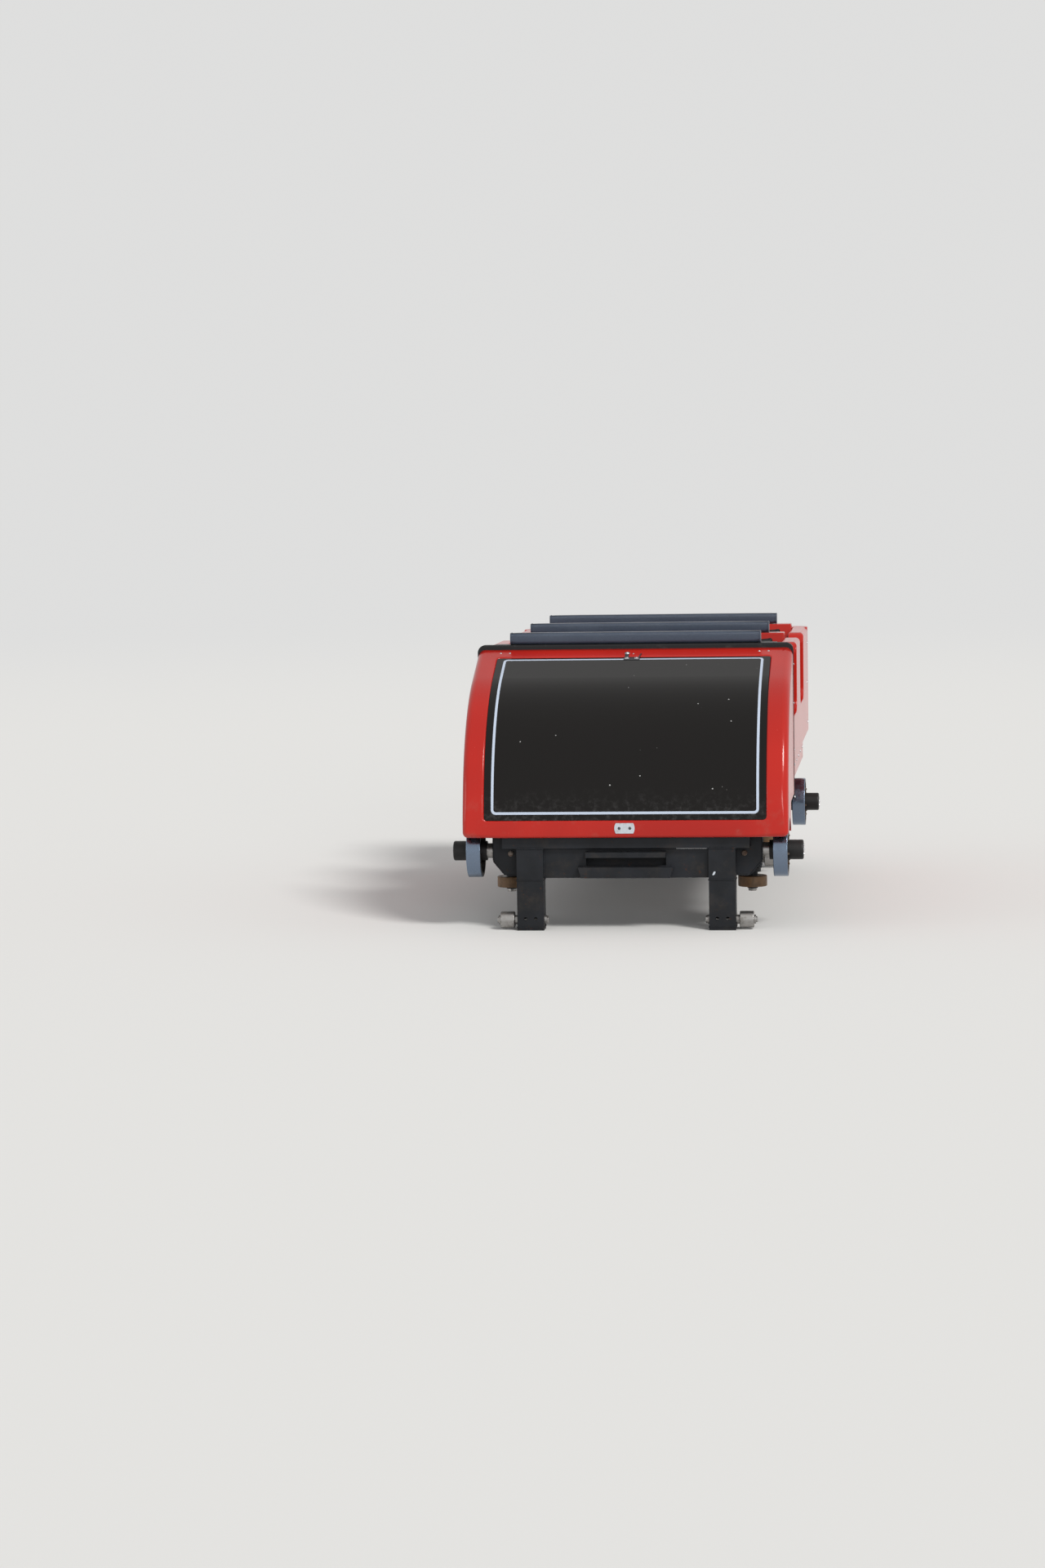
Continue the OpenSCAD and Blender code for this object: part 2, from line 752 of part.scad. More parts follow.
module cross_members() {
    in_x = frame_x - rail_w / 2;
    color(black) on_rail() {
        // channels between the chassis rails
        for (s = cross_s) difference() {
            block(-in_x, in_x, s, s + cross_w, beam_h, beam_h + cross_h);
            block(-in_x - cut, in_x + cut, s + rail_t, s + cross_w + cut,
                  beam_h + rail_t, beam_h + cross_h - rail_t);
        }
        // end members on top of the legs
        for (s = leg_ends) difference() {
            block(-beam_low_x, beam_low_x, s, s + leg_d, leg_top_h, beam_h);
            block(-beam_low_x - cut, beam_low_x + cut, s + rail_t, s + leg_d - rail_t,
                  leg_top_h + rail_t, beam_h - rail_t);
        }
        // bearers that lie across the chassis rails' outer sides, under the floor
        for (s = cross_s) both_sides()
            block(frame_x + rail_w / 2, wall_in, s, s + cross_w, sill_h - bearer_h, sill_h);
    }
}

// Outline of an axle beam in [x, h], t inside its outer face
module beam_outline(t) {
    polygon([
        [-beam_x, beam_h - t], [-beam_x, beam_end_h + t / 2], [-beam_low_x + t / 2, beam_low_h + t],
        [beam_low_x - t / 2, beam_low_h + t], [beam_x, beam_end_h + t / 2], [beam_x, beam_h - t]]);
}

module axle_beams() {
    drain_d = 40;
    color(black) on_rail() for (s = axles) difference() {
        along(s - beam_d / 2, s + beam_d / 2) beam_outline(0);
        intersection() {
            along(s - beam_d / 2 + beam_t, s + beam_d / 2 - beam_t) beam_outline(beam_t);
            block(-frame_x, frame_x, s - beam_d, s + beam_d, 0, beam_h);
        }
        for (x = [-1, 1] * frame_x / 2) rod_z(x, s, 0, beam_low_h + beam_t + cut, drain_d);
        rod_x(-beam_x - cut, beam_x + cut, s, wheel_d / 2, stub_d);
    }
}

module axle_stubs() {
    color(steel) on_rail() for (s = axles) both_sides() {
        rod_x(frame_x - 20, hub_x - 8, s, wheel_d / 2, stub_d);
        rod_x(beam_x, beam_x + collar_l, s, wheel_d / 2, collar_d);
    }
}

module up_stop_legs() {
    x0 = frame_x - leg_w / 2;
    x1 = frame_x + leg_w / 2;
    color(black) on_rail() for (end = [0, 1]) both_sides() difference() {
        s = leg_ends[end];
        face = end == 0 ? s : s + leg_d;
        block(x0, x1, s, s + leg_d, leg_foot_h, leg_top_h);
        block(x0 + leg_t, x1 - leg_t, s + leg_t, s + leg_d - leg_t,
              leg_foot_h + foot_t, leg_top_h + cut);
        for (x = [-1, 1] * shoe_gap / 2)
            translate([frame_x + x, face + leg_t / 2, leg_foot_h + shoe_hole_z])
                rotate([90, 0, 0]) translate([0, 0, -leg_t]) cylinder(h = 2 * leg_t, d = shoe_hole_d);
        rod_x(x0 - cut, x1 + cut, s + leg_d / 2, roller_h, roller_pin_d);
    }
}

module roller_pins() {
    x0 = frame_x - leg_w / 2;
    x1 = frame_x + leg_w / 2;
    head = 8;
    color(steel) on_rail() for (s = leg_ends) both_sides() {
        rod_x(x0 - head, x1 + roller_gap + roller_w + 1, s + leg_d / 2, roller_h, roller_pin_d);
        rod_x(x0 - head, x0, s + leg_d / 2, roller_h, roller_pin_d + 12);
        rod_x(x1, x1 + roller_gap - 1, s + leg_d / 2, roller_h, roller_pin_d + 12);
        rod_x(x1 + roller_gap + roller_w + 1, x1 + roller_gap + roller_w + 7,
              s + leg_d / 2, roller_h, roller_pin_d + 12);
    }
}

module guide_brackets() {
    half = 32;
    arm_t = 14;
    post_t = 10;
    color(black) on_rail() for (s = guides) both_sides() {
        difference() {
            block(frame_x - rail_w / 2, frame_x + rail_w / 2, s - half, s + half, 0, beam_h);
            block(frame_x - rail_w / 2 + post_t, frame_x + rail_w / 2 - post_t,
                  s - half - cut, s + half + cut, arm_t, beam_h - post_t);
        }
        upright(0, arm_t) {
            translate([frame_x, s - half]) square([guide_x - frame_x, 2 * half]);
            translate([guide_x, s]) circle(half);
        }
        rod_z(guide_x, s, -guide_drop - guide_t - 1, 1, guide_pin_d);
        rod_z(guide_x, s, -guide_drop + 1, 1, guide_pin_d + 16);
        rod_z(guide_x, s, -guide_drop - guide_t - 8, -guide_drop - guide_t - 1, guide_pin_d + 16);
        rod_z(guide_x, s, arm_t - 1, arm_t + 12, guide_pin_d + 10);
    }
}

// Wheels

// Half-sections are drawn in [radius, distance from the inner face]
module running_wheel() {
    hub_in = wheel_x - beam_x - collar_l - 0.5;
    rim = 16;
    web0 = 18;
    web1 = wheel_w - 14;
    hub_out = hub_x - wheel_x;
    rotate([0, 90, 0]) rotate_extrude($fn = 96) difference() {
        union() {
            translate([wheel_d / 2 - rim, 0]) square([rim, wheel_w]);
            translate([0, web0]) square([wheel_d / 2 - rim + 1, web1 - web0]);
            translate([0, -hub_in]) square([hub_d / 2, hub_in + hub_out]);
        }
        translate([-1, -hub_in - cut]) square([stub_d / 2 + wheel_fit + 1, hub_in + hub_out + cut - 7]);
        for (y = [0, wheel_w]) corner_waste(wheel_d / 2, y, 1, y > 0 ? 1 : -1, 3);
        corner_waste(hub_d / 2, hub_out, 1, 1, 6);
    }
}

module place_wheel(side, s) {
    translate([side * wheel_x, s, wheel_d / 2]) mirror([side < 0 ? 1 : 0, 0, 0]) running_wheel();
}

module wheel_front_left() { color(steel) on_rail() place_wheel(-1, axle_s); }

module wheel_front_right() { color(steel) on_rail() place_wheel(1, axle_s); }

module wheel_rear_left() { color(steel) on_rail() place_wheel(-1, rear_axle_s); }

module wheel_rear_right() { color(steel) on_rail() place_wheel(1, rear_axle_s); }

// A plain roller with a bore, its axis along x or z
module roller(d, w, bore) {
    rotate_extrude($fn = 96) difference() {
        translate([bore / 2, 0]) square([(d - bore) / 2, w]);
        for (y = [0, w]) corner_waste(d / 2, y, 1, y > 0 ? 1 : -1, 3);
    }
}

module place_roller(side, s) {
    x = frame_x + leg_w / 2 + roller_gap;
    mirror([side < 0 ? 1 : 0, 0, 0]) translate([x, s + leg_d / 2, roller_h]) rotate([0, 90, 0])
        roller(roller_d, roller_w, roller_pin_d + 2 * wheel_fit);
}

module roller_front_left() { color(steel) on_rail() place_roller(-1, leg_ends[0]); }

module roller_front_right() { color(steel) on_rail() place_roller(1, leg_ends[0]); }

module roller_rear_left() { color(steel) on_rail() place_roller(-1, leg_ends[1]); }

module roller_rear_right() { color(steel) on_rail() place_roller(1, leg_ends[1]); }

module place_guide(side, s) {
    translate([side * guide_x, s, -guide_drop - guide_t])
        roller(guide_d, guide_t, guide_pin_d + 2 * wheel_fit);
}

module guide_front_left() { color(steel) on_rail() place_guide(-1, guides[0]); }

module guide_front_right() { color(steel) on_rail() place_guide(1, guides[0]); }

module guide_rear_left() { color(steel) on_rail() place_guide(-1, guides[1]); }

module guide_rear_right() { color(steel) on_rail() place_guide(1, guides[1]); }

// Coupling

// Outline of an end plate in [x, h]
module plate_outline() {
    translate([-plate_x, plate_low_h]) square([2 * plate_x, leg_top_h - plate_low_h]);
}

module front_plate() {
    face = leg_ends[0] + 20;
    lip_s = leg_ends[0] - 20;
    wing_high = slot_w / 2 + 28;
    wing_low = wing_high - 11;
    pin_s = (lip_s + face) / 2;
    low = couple_h - slot_h / 2;
    high = couple_h + slot_h / 2;
    color(black) on_rail() difference() {
        union() {
            along(face, face + plate_t) plate_outline();
            // upper and lower lips of the pocket
            block(-slot_w / 2, slot_w / 2, lip_s, face + 1, high, high + lip_top_t);
            along(lip_s, face + 1) polygon([
                [-wing_high, low], [wing_high, low],
                [wing_low, low - lip_low_t], [-wing_low, low - lip_low_t]]);
        }
        block(-slot_w / 2, slot_w / 2, lip_s - cut, face + plate_t + cut, low, high);
        rod_z(0, pin_s, low - lip_low_t - cut, high + lip_top_t + cut, pin_d + 2 * pin_fit);
    }
}

module rear_plate() {
    low = couple_h - slot_h / 2;
    high = couple_h + slot_h / 2;
    ear_r = 46;
    ear_t = 18;
    color(black) on_rail() {
        along(rear_plate_s, rear_plate_s + plate_t) plate_outline();
        for (h = [low - ear_t, high]) upright(h, h + ear_t) {
            translate([-ear_r, rear_plate_s + 1]) square([2 * ear_r, yaw_s - rear_plate_s - 1]);
            translate([0, yaw_s]) circle(ear_r);
        }
        rod_z(0, yaw_s, low - ear_t - 10, high + ear_t + 14, pin_d);
        rod_z(0, yaw_s, high + ear_t, high + ear_t + 14, pin_d + 14);
        rod_z(0, yaw_s, low - ear_t - 10, low - ear_t - 2, pin_d + 14);
    }
}

module drawbar() {
    color(black) on_rail() difference() {
        upright(couple_h - bar_t / 2, couple_h + bar_t / 2) {
            for (s = [0, bar_l]) translate([0, yaw_s + s]) circle(bar_r);
            translate([-bar_w / 2, yaw_s]) square([bar_w, bar_l]);
        }
        rod_z(0, yaw_s, couple_h - bar_t, couple_h + bar_t, pin_d + 2 * pin_fit);
        rod_z(0, yaw_s + bar_l, couple_h - bar_t, couple_h + bar_t, pin_d + 2 * pin_fit);
    }
}

// Chain dog and wear plates

module chain_dog() {
    half = dog_eye_d / 2 - 3.5;
    color(steel) on_rail() difference() {
        union() {
            rod_x(-dog_t / 2, dog_t / 2, dog_s, dog_h, dog_eye_d);
            across(-dog_t / 2, dog_t / 2) polygon([
                [dog_s - half, dog_h], [dog_s + half, dog_h], [dog_s + dog_hook * 0.27, -dog_tip / 4],
                [dog_s + dog_hook * 0.73, -dog_tip * 0.43], [dog_s + dog_hook, -dog_tip * 0.8],
                [dog_s - 4, -dog_tip], [dog_s - half, -dog_tip / 7]]);
        }
        rod_x(-dog_t, dog_t, dog_s, dog_h, dog_pin_d + 2 * pin_fit);
    }
}

module wear_plates() {
    low = wear_h;
    hanger_t = 10;
    ear = dog_t / 2 + 2;
    ear_t = 12;
    half = dog_eye_d / 2 - 2.5;
    color(steel) on_rail() {
        both_sides() {
            block(wear_x - wear_w / 2, wear_x + wear_w / 2,
                  axle_s + wear_in, rear_axle_s - wear_in, low, low + wear_t);
            for (s = cross_s)
                block(wear_x - hanger_t / 2, wear_x + hanger_t / 2, s, s + cross_w, low + wear_t - 1, beam_h);
            // ears of the chain dog
            across(ear, ear + ear_t) {
                translate([dog_s, dog_h]) circle(dog_eye_d / 2);
                polygon([[dog_s - half, dog_h], [dog_s + half, dog_h],
                         [cross_s[1] + cross_w, beam_h], [cross_s[1], beam_h]]);
            }
        }
        rod_x(-ear - ear_t - 6, ear + ear_t + 6, dog_s, dog_h, dog_pin_d);
    }
}

nose_shell();
nose_panel();
screw_plate();
seam_edging();
dash_bulkhead();
dash_cap();
dash_pad();
side_wall_left();
side_wall_right();
rear_shell();
floor_pan();
seat_shell_front();
seat_shell_rear();
seat_cushions();
back_cushions();
seat_back_pads();
lap_bar_lugs();
lap_bar_front();
lap_pads_front();
lap_bar_rear();
lap_pads_rear();
chassis_rails();
cross_members();
axle_beams();
axle_stubs();
up_stop_legs();
roller_pins();
guide_brackets();
front_plate();
rear_plate();
drawbar();
chain_dog();
wear_plates();
wheel_front_left();
wheel_front_right();
wheel_rear_left();
wheel_rear_right();
roller_front_left();
roller_front_right();
roller_rear_left();
roller_rear_right();
guide_front_left();
guide_front_right();
guide_rear_left();
guide_rear_right();
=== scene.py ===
import json
import math

import bmesh
import bpy
from mathutils import Matrix, Vector
from mathutils.bvhtree import BVHTree

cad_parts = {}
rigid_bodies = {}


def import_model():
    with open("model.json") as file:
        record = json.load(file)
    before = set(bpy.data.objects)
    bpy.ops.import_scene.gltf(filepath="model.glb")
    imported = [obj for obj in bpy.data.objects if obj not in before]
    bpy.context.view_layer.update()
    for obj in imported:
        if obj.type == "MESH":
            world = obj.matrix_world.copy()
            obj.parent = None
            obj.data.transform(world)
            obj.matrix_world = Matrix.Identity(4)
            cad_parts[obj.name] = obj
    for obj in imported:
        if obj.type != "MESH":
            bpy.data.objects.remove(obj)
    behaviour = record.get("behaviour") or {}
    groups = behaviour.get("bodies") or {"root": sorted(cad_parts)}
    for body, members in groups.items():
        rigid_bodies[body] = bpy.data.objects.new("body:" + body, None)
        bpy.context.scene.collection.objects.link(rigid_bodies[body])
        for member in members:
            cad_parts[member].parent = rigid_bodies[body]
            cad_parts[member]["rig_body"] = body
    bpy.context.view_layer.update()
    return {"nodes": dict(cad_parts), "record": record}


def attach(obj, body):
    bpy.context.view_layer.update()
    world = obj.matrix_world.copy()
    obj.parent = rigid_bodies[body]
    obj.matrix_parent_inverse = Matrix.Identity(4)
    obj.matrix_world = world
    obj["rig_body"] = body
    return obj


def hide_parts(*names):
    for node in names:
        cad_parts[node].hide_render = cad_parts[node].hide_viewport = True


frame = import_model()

print("frame loaded:", len(frame["nodes"]), "parts")

# Places are given as x sideways, s back from the nose and h above the rail top, in millimetres
car = {
    "noseY": -1333.0, "railTop": 190.0,
    "noseRadius": 584.0266, "noseMiddle": (584.0266, 200.0), "noseBack": 596.667,
    "hoodSlope": math.radians(22), "hoodTurn": math.radians(68), "hoodLong": 249.6,
    "axles": (150.0, 2100.0), "axleHeight": 100.0,
    "legFronts": (32.0, 2140.0), "legMiddle": 360.0, "rollerHeight": -153.0,
    "guideWheels": (315.0, 1935.0), "guideMiddle": 460.0,
    "crossMembers": (650.0, 1090.0, 1530.0), "sideFace": 610.0,
}
rowShift = {"front": 0.0, "rear": 780.0}
handSide = {"left": -1, "right": 1}


def at(x, s, h):
    return Vector((x, s + car["noseY"], h + car["railTop"])) / 1000


# A value in a material: sums done with it become nodes
class Wire:
    def __init__(self, finish, socket):
        self.finish = finish
        self.socket = socket

    def sum(self, operation, *values):
        return self.finish.node("ShaderNodeMath", {"operation": operation}, dict(enumerate(values)))

    def __add__(self, other):
        return self.sum("ADD", self, other)

    __radd__ = __add__

    def __sub__(self, other):
        return self.sum("SUBTRACT", self, other)

    def __rsub__(self, other):
        return self.sum("SUBTRACT", other, self)

    def __mul__(self, other):
        return self.sum("MULTIPLY", self, other)

    __rmul__ = __mul__

    def __truediv__(self, other):
        return self.sum("DIVIDE", self, other)

    def __abs__(self):
        return self.sum("ABSOLUTE", self)

    def __lt__(self, other):
        return self.sum("LESS_THAN", self, other)

    def least(self, other):
        return self.sum("MINIMUM", self, other)

    def most(self, other):
        return self.sum("MAXIMUM", self, other)

    def root(self):
        return self.sum("SQRT", self)

    def sine(self):
        return self.sum("SINE", self)

    def rise(self, start, end):
        return self.finish.node(
            "ShaderNodeMapRange", {"interpolation_type": "SMOOTHSTEP"},
            {"Value": self, "From Min": start, "From Max": end})


def distance(first, second):
    return (first * first + second * second).root()


class Finish:
    def __init__(self, name, **fixed):
        self.material = bpy.data.materials.new(name)
        self.material.use_nodes = True
        self.tree = self.material.node_tree
        self.tree.nodes.clear()
        self.shader = self.tree.nodes.new("ShaderNodeBsdfPrincipled")
        output = self.tree.nodes.new("ShaderNodeOutputMaterial")
        self.tree.links.new(self.shader.outputs[0], output.inputs["Surface"])
        self.spot = self.node("ShaderNodeTexCoord", output="Object")
        for key, value in fixed.items():
            self.shader.inputs[key.replace("_", " ")].default_value = value

    def feed(self, socket, value):
        if isinstance(value, Wire):
            self.tree.links.new(value.socket, socket)
        else:
            socket.default_value = value

    def node(self, kind, settings=None, inputs=None, output=0):
        made = self.tree.nodes.new(kind)
        for name, value in (settings or {}).items():
            setattr(made, name, value)
        for name, value in (inputs or {}).items():
            self.feed(made.inputs[name], value)
        return Wire(self, made.outputs[output])

    def axes(self):
        return [self.node("ShaderNodeSeparateXYZ", None, {"Vector": self.spot}, side) for side in range(3)]

    def stretched(self, scale, turn=(0, 0, 0)):
        return self.node("ShaderNodeMapping", None, {"Vector": self.spot, "Scale": scale, "Rotation": turn})

    def noise(self, scale, detail=3.0, rough=0.5, spot=None):
        return self.node("ShaderNodeTexNoise", None, {
            "Vector": spot or self.spot, "Scale": scale, "Detail": detail, "Roughness": rough})

    def cells(self, scale, feature="F1"):
        return self.node("ShaderNodeTexVoronoi", {"feature": feature}, {
            "Vector": self.spot, "Scale": scale})

    def tint(self, factor, first, second):
        return self.node("ShaderNodeMix", {"data_type": "RGBA"}, {0: factor, 6: first, 7: second}, 2)

    def bump(self, height, distance, strength=1.0, under=None):
        inputs = {"Height": height, "Distance": distance, "Strength": strength}
        if under is not None:
            inputs["Normal"] = under
        return self.node("ShaderNodeBump", None, inputs)

    def paint(self, **inputs):
        for key, value in inputs.items():
            self.feed(self.shader.inputs[key.replace("_", " ")], value)
        return self.material


def shade(red, green, blue):
    return (red, green, blue, 1.0)


def gelRed():
    look = {"red": shade(0.47, 0.015, 0.008), "deep": shade(0.39, 0.011, 0.006),
            "dust": shade(0.26, 0.12, 0.09), "dustTop": 0.62, "dustFade": 0.28, "dusty": 0.45,
            "rough": 0.16, "peel": 0.00006}
    f = Finish("body_red", IOR=1.37, Coat_Weight=0.12, Coat_Roughness=0.04)
    x, y, z = f.axes()
    broad = f.noise(2.2, 2.0)
    colour = f.tint(broad.rise(0.35, 0.7), look["red"], look["deep"])
    low = (look["dustTop"] - z).rise(0.0, look["dustFade"])
    grime = f.noise(14.0, 5.0, 0.62).rise(0.5, 0.85) * low * look["dusty"]
    scratch = f.noise(90.0, 4.0, 0.7, f.stretched((1.0, 0.05, 1.0), (0.3, 0.2, 0.1))).rise(0.63, 0.72)
    colour = f.tint(grime, colour, look["dust"])
    return f.paint(Base_Color=colour, Roughness=look["rough"] + broad * 0.06 + grime * 0.5 + scratch * 0.12,
                   Normal=f.bump(f.noise(160.0, 1.0), look["peel"], 0.5))


# Black gloss with a pinstripe: the panel is measured across and along the curve of the nose
def panelBlack():
    look = {"black": shade(0.0065, 0.0055, 0.0050), "stripe": shade(0.50, 0.57, 0.69),
            "chip": shade(0.42, 0.42, 0.42), "wide": 9.5, "corner": 14.0, "blur": 0.0006,
            "sides": 31.0, "bottom": 27.0, "top": 16.0, "wear": 0.7,
            "panelHalf": 0.527, "panelLow": 0.0270, "panelOnHood": 0.1776,
            "dustTop": 0.55, "dustFade": 0.15, "dusty": 0.12, "rough": 0.06}
    f = Finish("panel_black", IOR=1.31)
    x, y, z = f.axes()
    radius = (car["noseRadius"] - 3) / 1000
    middle = at(0, *car["noseMiddle"])
    slope = car["hoodSlope"]
    turn = math.pi / 2 - slope
    forward = middle.y - y
    upward = z - middle.z
    angle = forward.sum("ARCTAN2", upward, forward)
    onHood = (y - middle.y) * math.cos(slope) + upward * math.sin(slope)
    along = angle.least(turn) * radius + onHood.most(0.0)
    low = look["panelLow"] + look["bottom"] / 1000
    high = radius * turn + look["panelOnHood"] - look["top"] / 1000
    wide = look["panelHalf"] - look["sides"] / 1000
    r = look["corner"] / 1000
    overX = abs(x) - (wide - r)
    overY = abs(along - (low + high) / 2) - ((high - low) / 2 - r)
    far = distance(overX.most(0.0), overY.most(0.0)) + overX.most(overY).least(0.0) - r
    edge = look["wide"] / 2000
    worn = f.noise(300.0, 3.0, 0.6).rise(0.68, 0.74)
    stripe = (1 - abs(far).rise(edge - look["blur"], edge + look["blur"])) * (1 - worn * look["wear"])
    chips = (1 - f.cells(24.0).rise(0.05, 0.075)) * f.noise(9.0, 1.0).rise(0.56, 0.6)
    low = (look["dustTop"] - z).rise(0.0, look["dustFade"])
    dust = f.noise(40.0, 6.0, 0.7).rise(0.45, 0.8) * low * look["dusty"]
    colour = f.tint(stripe, look["black"], look["stripe"])
    colour = f.tint(chips.most(dust), colour, look["chip"])
    rough = look["rough"] + f.noise(3.0, 2.0) * 0.05 + stripe * 0.1 + dust
    return f.paint(Base_Color=colour, Roughness=rough,
                   Normal=f.bump(f.noise(7.0, 1.0) * 0.4 + stripe * 0.15, 0.0012, 0.25))


def trimBlack():
    look = {"black": shade(0.009, 0.009, 0.010), "worn": shade(0.032, 0.030, 0.029),
            "rough": 0.42, "grain": 0.0002}
    f = Finish("trim_black", IOR=1.36)
    worn = f.noise(22.0, 5.0, 0.65).rise(0.55, 0.8)
    return f.paint(Base_Color=f.tint(worn, look["black"], look["worn"]),
                   Roughness=look["rough"] + worn * 0.2,
                   Normal=f.bump(f.noise(900.0, 2.0), look["grain"], 0.5))


def vinyl(name, base, worn, rough):
    look = {"grain": 0.0011, "grainDeep": 0.0005, "foldDeep": 0.004, "pore": shade(0.006, 0.006, 0.007)}
    f = Finish(name, IOR=1.5, Sheen_Weight=0.05)
    pores = f.cells(1 / look["grain"] / 2.2, "DISTANCE_TO_EDGE").rise(0.0, 0.22)
    rub = f.noise(9.0, 5.0, 0.6).rise(0.45, 0.85)
    fine = f.noise(1400.0, 2.0)
    colour = f.tint(rub * 0.8, base, worn)
    colour = f.tint((1 - pores) * 0.5, colour, look["pore"])
    fold = f.bump(f.noise(21.0, 3.0, 0.5), look["foldDeep"], 0.2)
    return f.paint(Base_Color=colour, Roughness=rough + rub * 0.14 + (1 - pores) * 0.1,
                   Normal=f.bump(pores * 0.7 + fine * 0.2, look["grainDeep"], 0.45, fold))


def plateSilver():
    # the bright silver is tinted blue, a painted reflection of sky
    look = {"bright": shade(0.66, 0.70, 0.76), "tarnish": shade(0.46, 0.46, 0.46), "rough": 0.28}
    f = Finish("plate_silver", IOR=1.5)
    brushed = f.noise(500.0, 3.0, 0.6, f.stretched((0.04, 1.0, 1.0)))
    tarnish = f.noise(60.0, 4.0, 0.6).rise(0.4, 0.8)
    return f.paint(Base_Color=f.tint(tarnish, look["bright"], look["tarnish"]), Metallic=0.85,
                   Roughness=look["rough"] + tarnish * 0.2 + brushed * 0.08,
                   Normal=f.bump(brushed, 0.0001, 0.6))


def floorGrey():
    look = {"rubber": shade(0.030, 0.030, 0.032), "dirt": shade(0.085, 0.075, 0.062),
            "groove": shade(0.05, 0.043, 0.035), "ribPitch": 0.012, "ribDeep": 0.0016, "rough": 0.62}
    f = Finish("floor_grey", IOR=1.45)
    x, y, z = f.axes()
    tops = (x * (2 * math.pi / look["ribPitch"])).sine().rise(-0.2, 0.35)
    dirt = f.noise(7.0, 6.0, 0.65).rise(0.35, 0.75)
    colour = f.tint(dirt, look["rubber"], look["dirt"])
    colour = f.tint((1 - tops) * 0.7, colour, look["groove"])
    return f.paint(Base_Color=colour, Roughness=look["rough"] + dirt * 0.25,
                   Normal=f.bump(tops * 0.8 + f.noise(700.0, 2.0) * 0.15, look["ribDeep"], 0.9))


def frameBlack():
    look = {"paint": shade(0.0062, 0.0074, 0.0098), "faded": shade(0.0135, 0.0155, 0.0200),
            "grease": shade(0.005, 0.004, 0.003), "dust": shade(0.055, 0.043, 0.033),
            "rust": shade(0.075, 0.028, 0.012), "bare": shade(0.55, 0.60, 0.66), "rough": 0.46,
            "greaseAt": 0.47, "greaseWide": (0.02, 0.11),
            "chipAt": (330, 34, 24), "chipLean": 0.45, "chipSize": (0.006, 0.012)}
    f = Finish("frame_black", IOR=1.34)
    x, y, z = f.axes()
    cloud = f.noise(6.0, 5.0, 0.6)
    colour = f.tint(cloud.rise(0.35, 0.7), look["paint"], look["faded"])
    streak = f.noise(26.0, 4.0, 0.6, f.stretched((1.0, 1.0, 0.18))).rise(0.5, 0.8)
    dust = f.noise(11.0, 6.0, 0.7).rise(0.48, 0.85) * 0.5
    colour = f.tint(dust, colour, look["dust"])
    rust = f.noise(38.0, 6.0, 0.72).rise(0.62, 0.70)
    colour = f.tint(rust * 0.75, colour, look["rust"])
    grease = (1 - abs(abs(x) - look["greaseAt"]).rise(*look["greaseWide"])) * streak * 0.9
    colour = f.tint(grease, colour, look["grease"])
    chipX, chipY, chipZ = at(*look["chipAt"])
    wide, long = look["chipSize"]
    far = distance((x - chipX - (z - chipZ) * look["chipLean"]) / wide, (z - chipZ) / long)
    chip = (1 - (far + f.noise(170.0, 3.0) * 0.8).rise(1.0, 1.12)) * (y < chipY)
    colour = f.tint(chip, colour, look["bare"])
    rough = look["rough"] + cloud * 0.12 + dust * 0.4 + rust * 0.3 - grease * 0.28
    height = cloud * 0.35 + f.noise(420.0, 3.0, 0.6) * 0.12 - rust * 0.12
    return f.paint(Base_Color=colour, Roughness=rough, Normal=f.bump(height, 0.0012, 0.5))


# How far a place is sideways from the nearer of two lines across the car
def fromNearer(y, first, second):
    return abs(y - at(0, first, 0).y).least(abs(y - at(0, second, 0).y))


def wheelSteel():
    # the tread and turned colours are blue-grey steel holding a painted reflection of sky, darkened further
    # as painted shade
    look = {"tread": shade(0.20, 0.255, 0.345), "turned": shade(0.13, 0.165, 0.22),
            "side": shade(0.060, 0.057, 0.054), "hub": shade(0.011, 0.0105, 0.011),
            "grease": shade(0.010, 0.008, 0.006), "rough": 0.52,
            "treadFrom": (0.0972, 0.0984), "hubTo": (0.0375, 0.0385)}
    f = Finish("running_wheel", IOR=1.5)
    x, y, z = f.axes()
    radius = distance(fromNearer(y, *car["axles"]), z - at(0, 0, car["axleHeight"]).z)
    tread = radius.rise(*look["treadFrom"])
    hub = 1 - radius.rise(*look["hubTo"])
    rings = f.noise(900.0, 2.0, 0.5, f.node("ShaderNodeCombineXYZ", None, {0: abs(x)}))
    dirt = f.noise(30.0, 5.0, 0.65).rise(0.35, 0.7)
    colour = f.tint(dirt, look["side"], look["grease"])
    colour = f.tint(hub, colour, look["hub"])
    bright = f.tint(rings.rise(0.3, 0.7) * 0.5, look["tread"], look["turned"])
    colour = f.tint(tread, colour, bright)
    rough = look["rough"] - dirt * 0.15 - tread * 0.27 + rings * 0.07
    return f.paint(Base_Color=colour, Metallic=tread * 0.95 + (1 - tread) * 0.35, Roughness=rough,
                   Normal=f.bump(dirt * (1 - tread) * 0.5 + rings * tread * 0.12, 0.0008, 0.5))


# Bare or plated metal: soil runs from 0 for clean to 1 for covered
def steel(name, base, dark, rough, soil):
    f = Finish(name, IOR=1.5)
    soiled = f.noise(34.0, 6.0, 0.66).rise(0.62 - soil * 0.35, 0.86 - soil * 0.2)
    turned = f.noise(340.0, 2.0)
    return f.paint(Base_Color=f.tint(soiled, base, dark), Metallic=0.95 - soiled * 0.45,
                   Roughness=rough + soiled * 0.28 + turned * 0.06,
                   Normal=f.bump(turned * 0.1 + soiled * 0.3, 0.0004, 0.35))


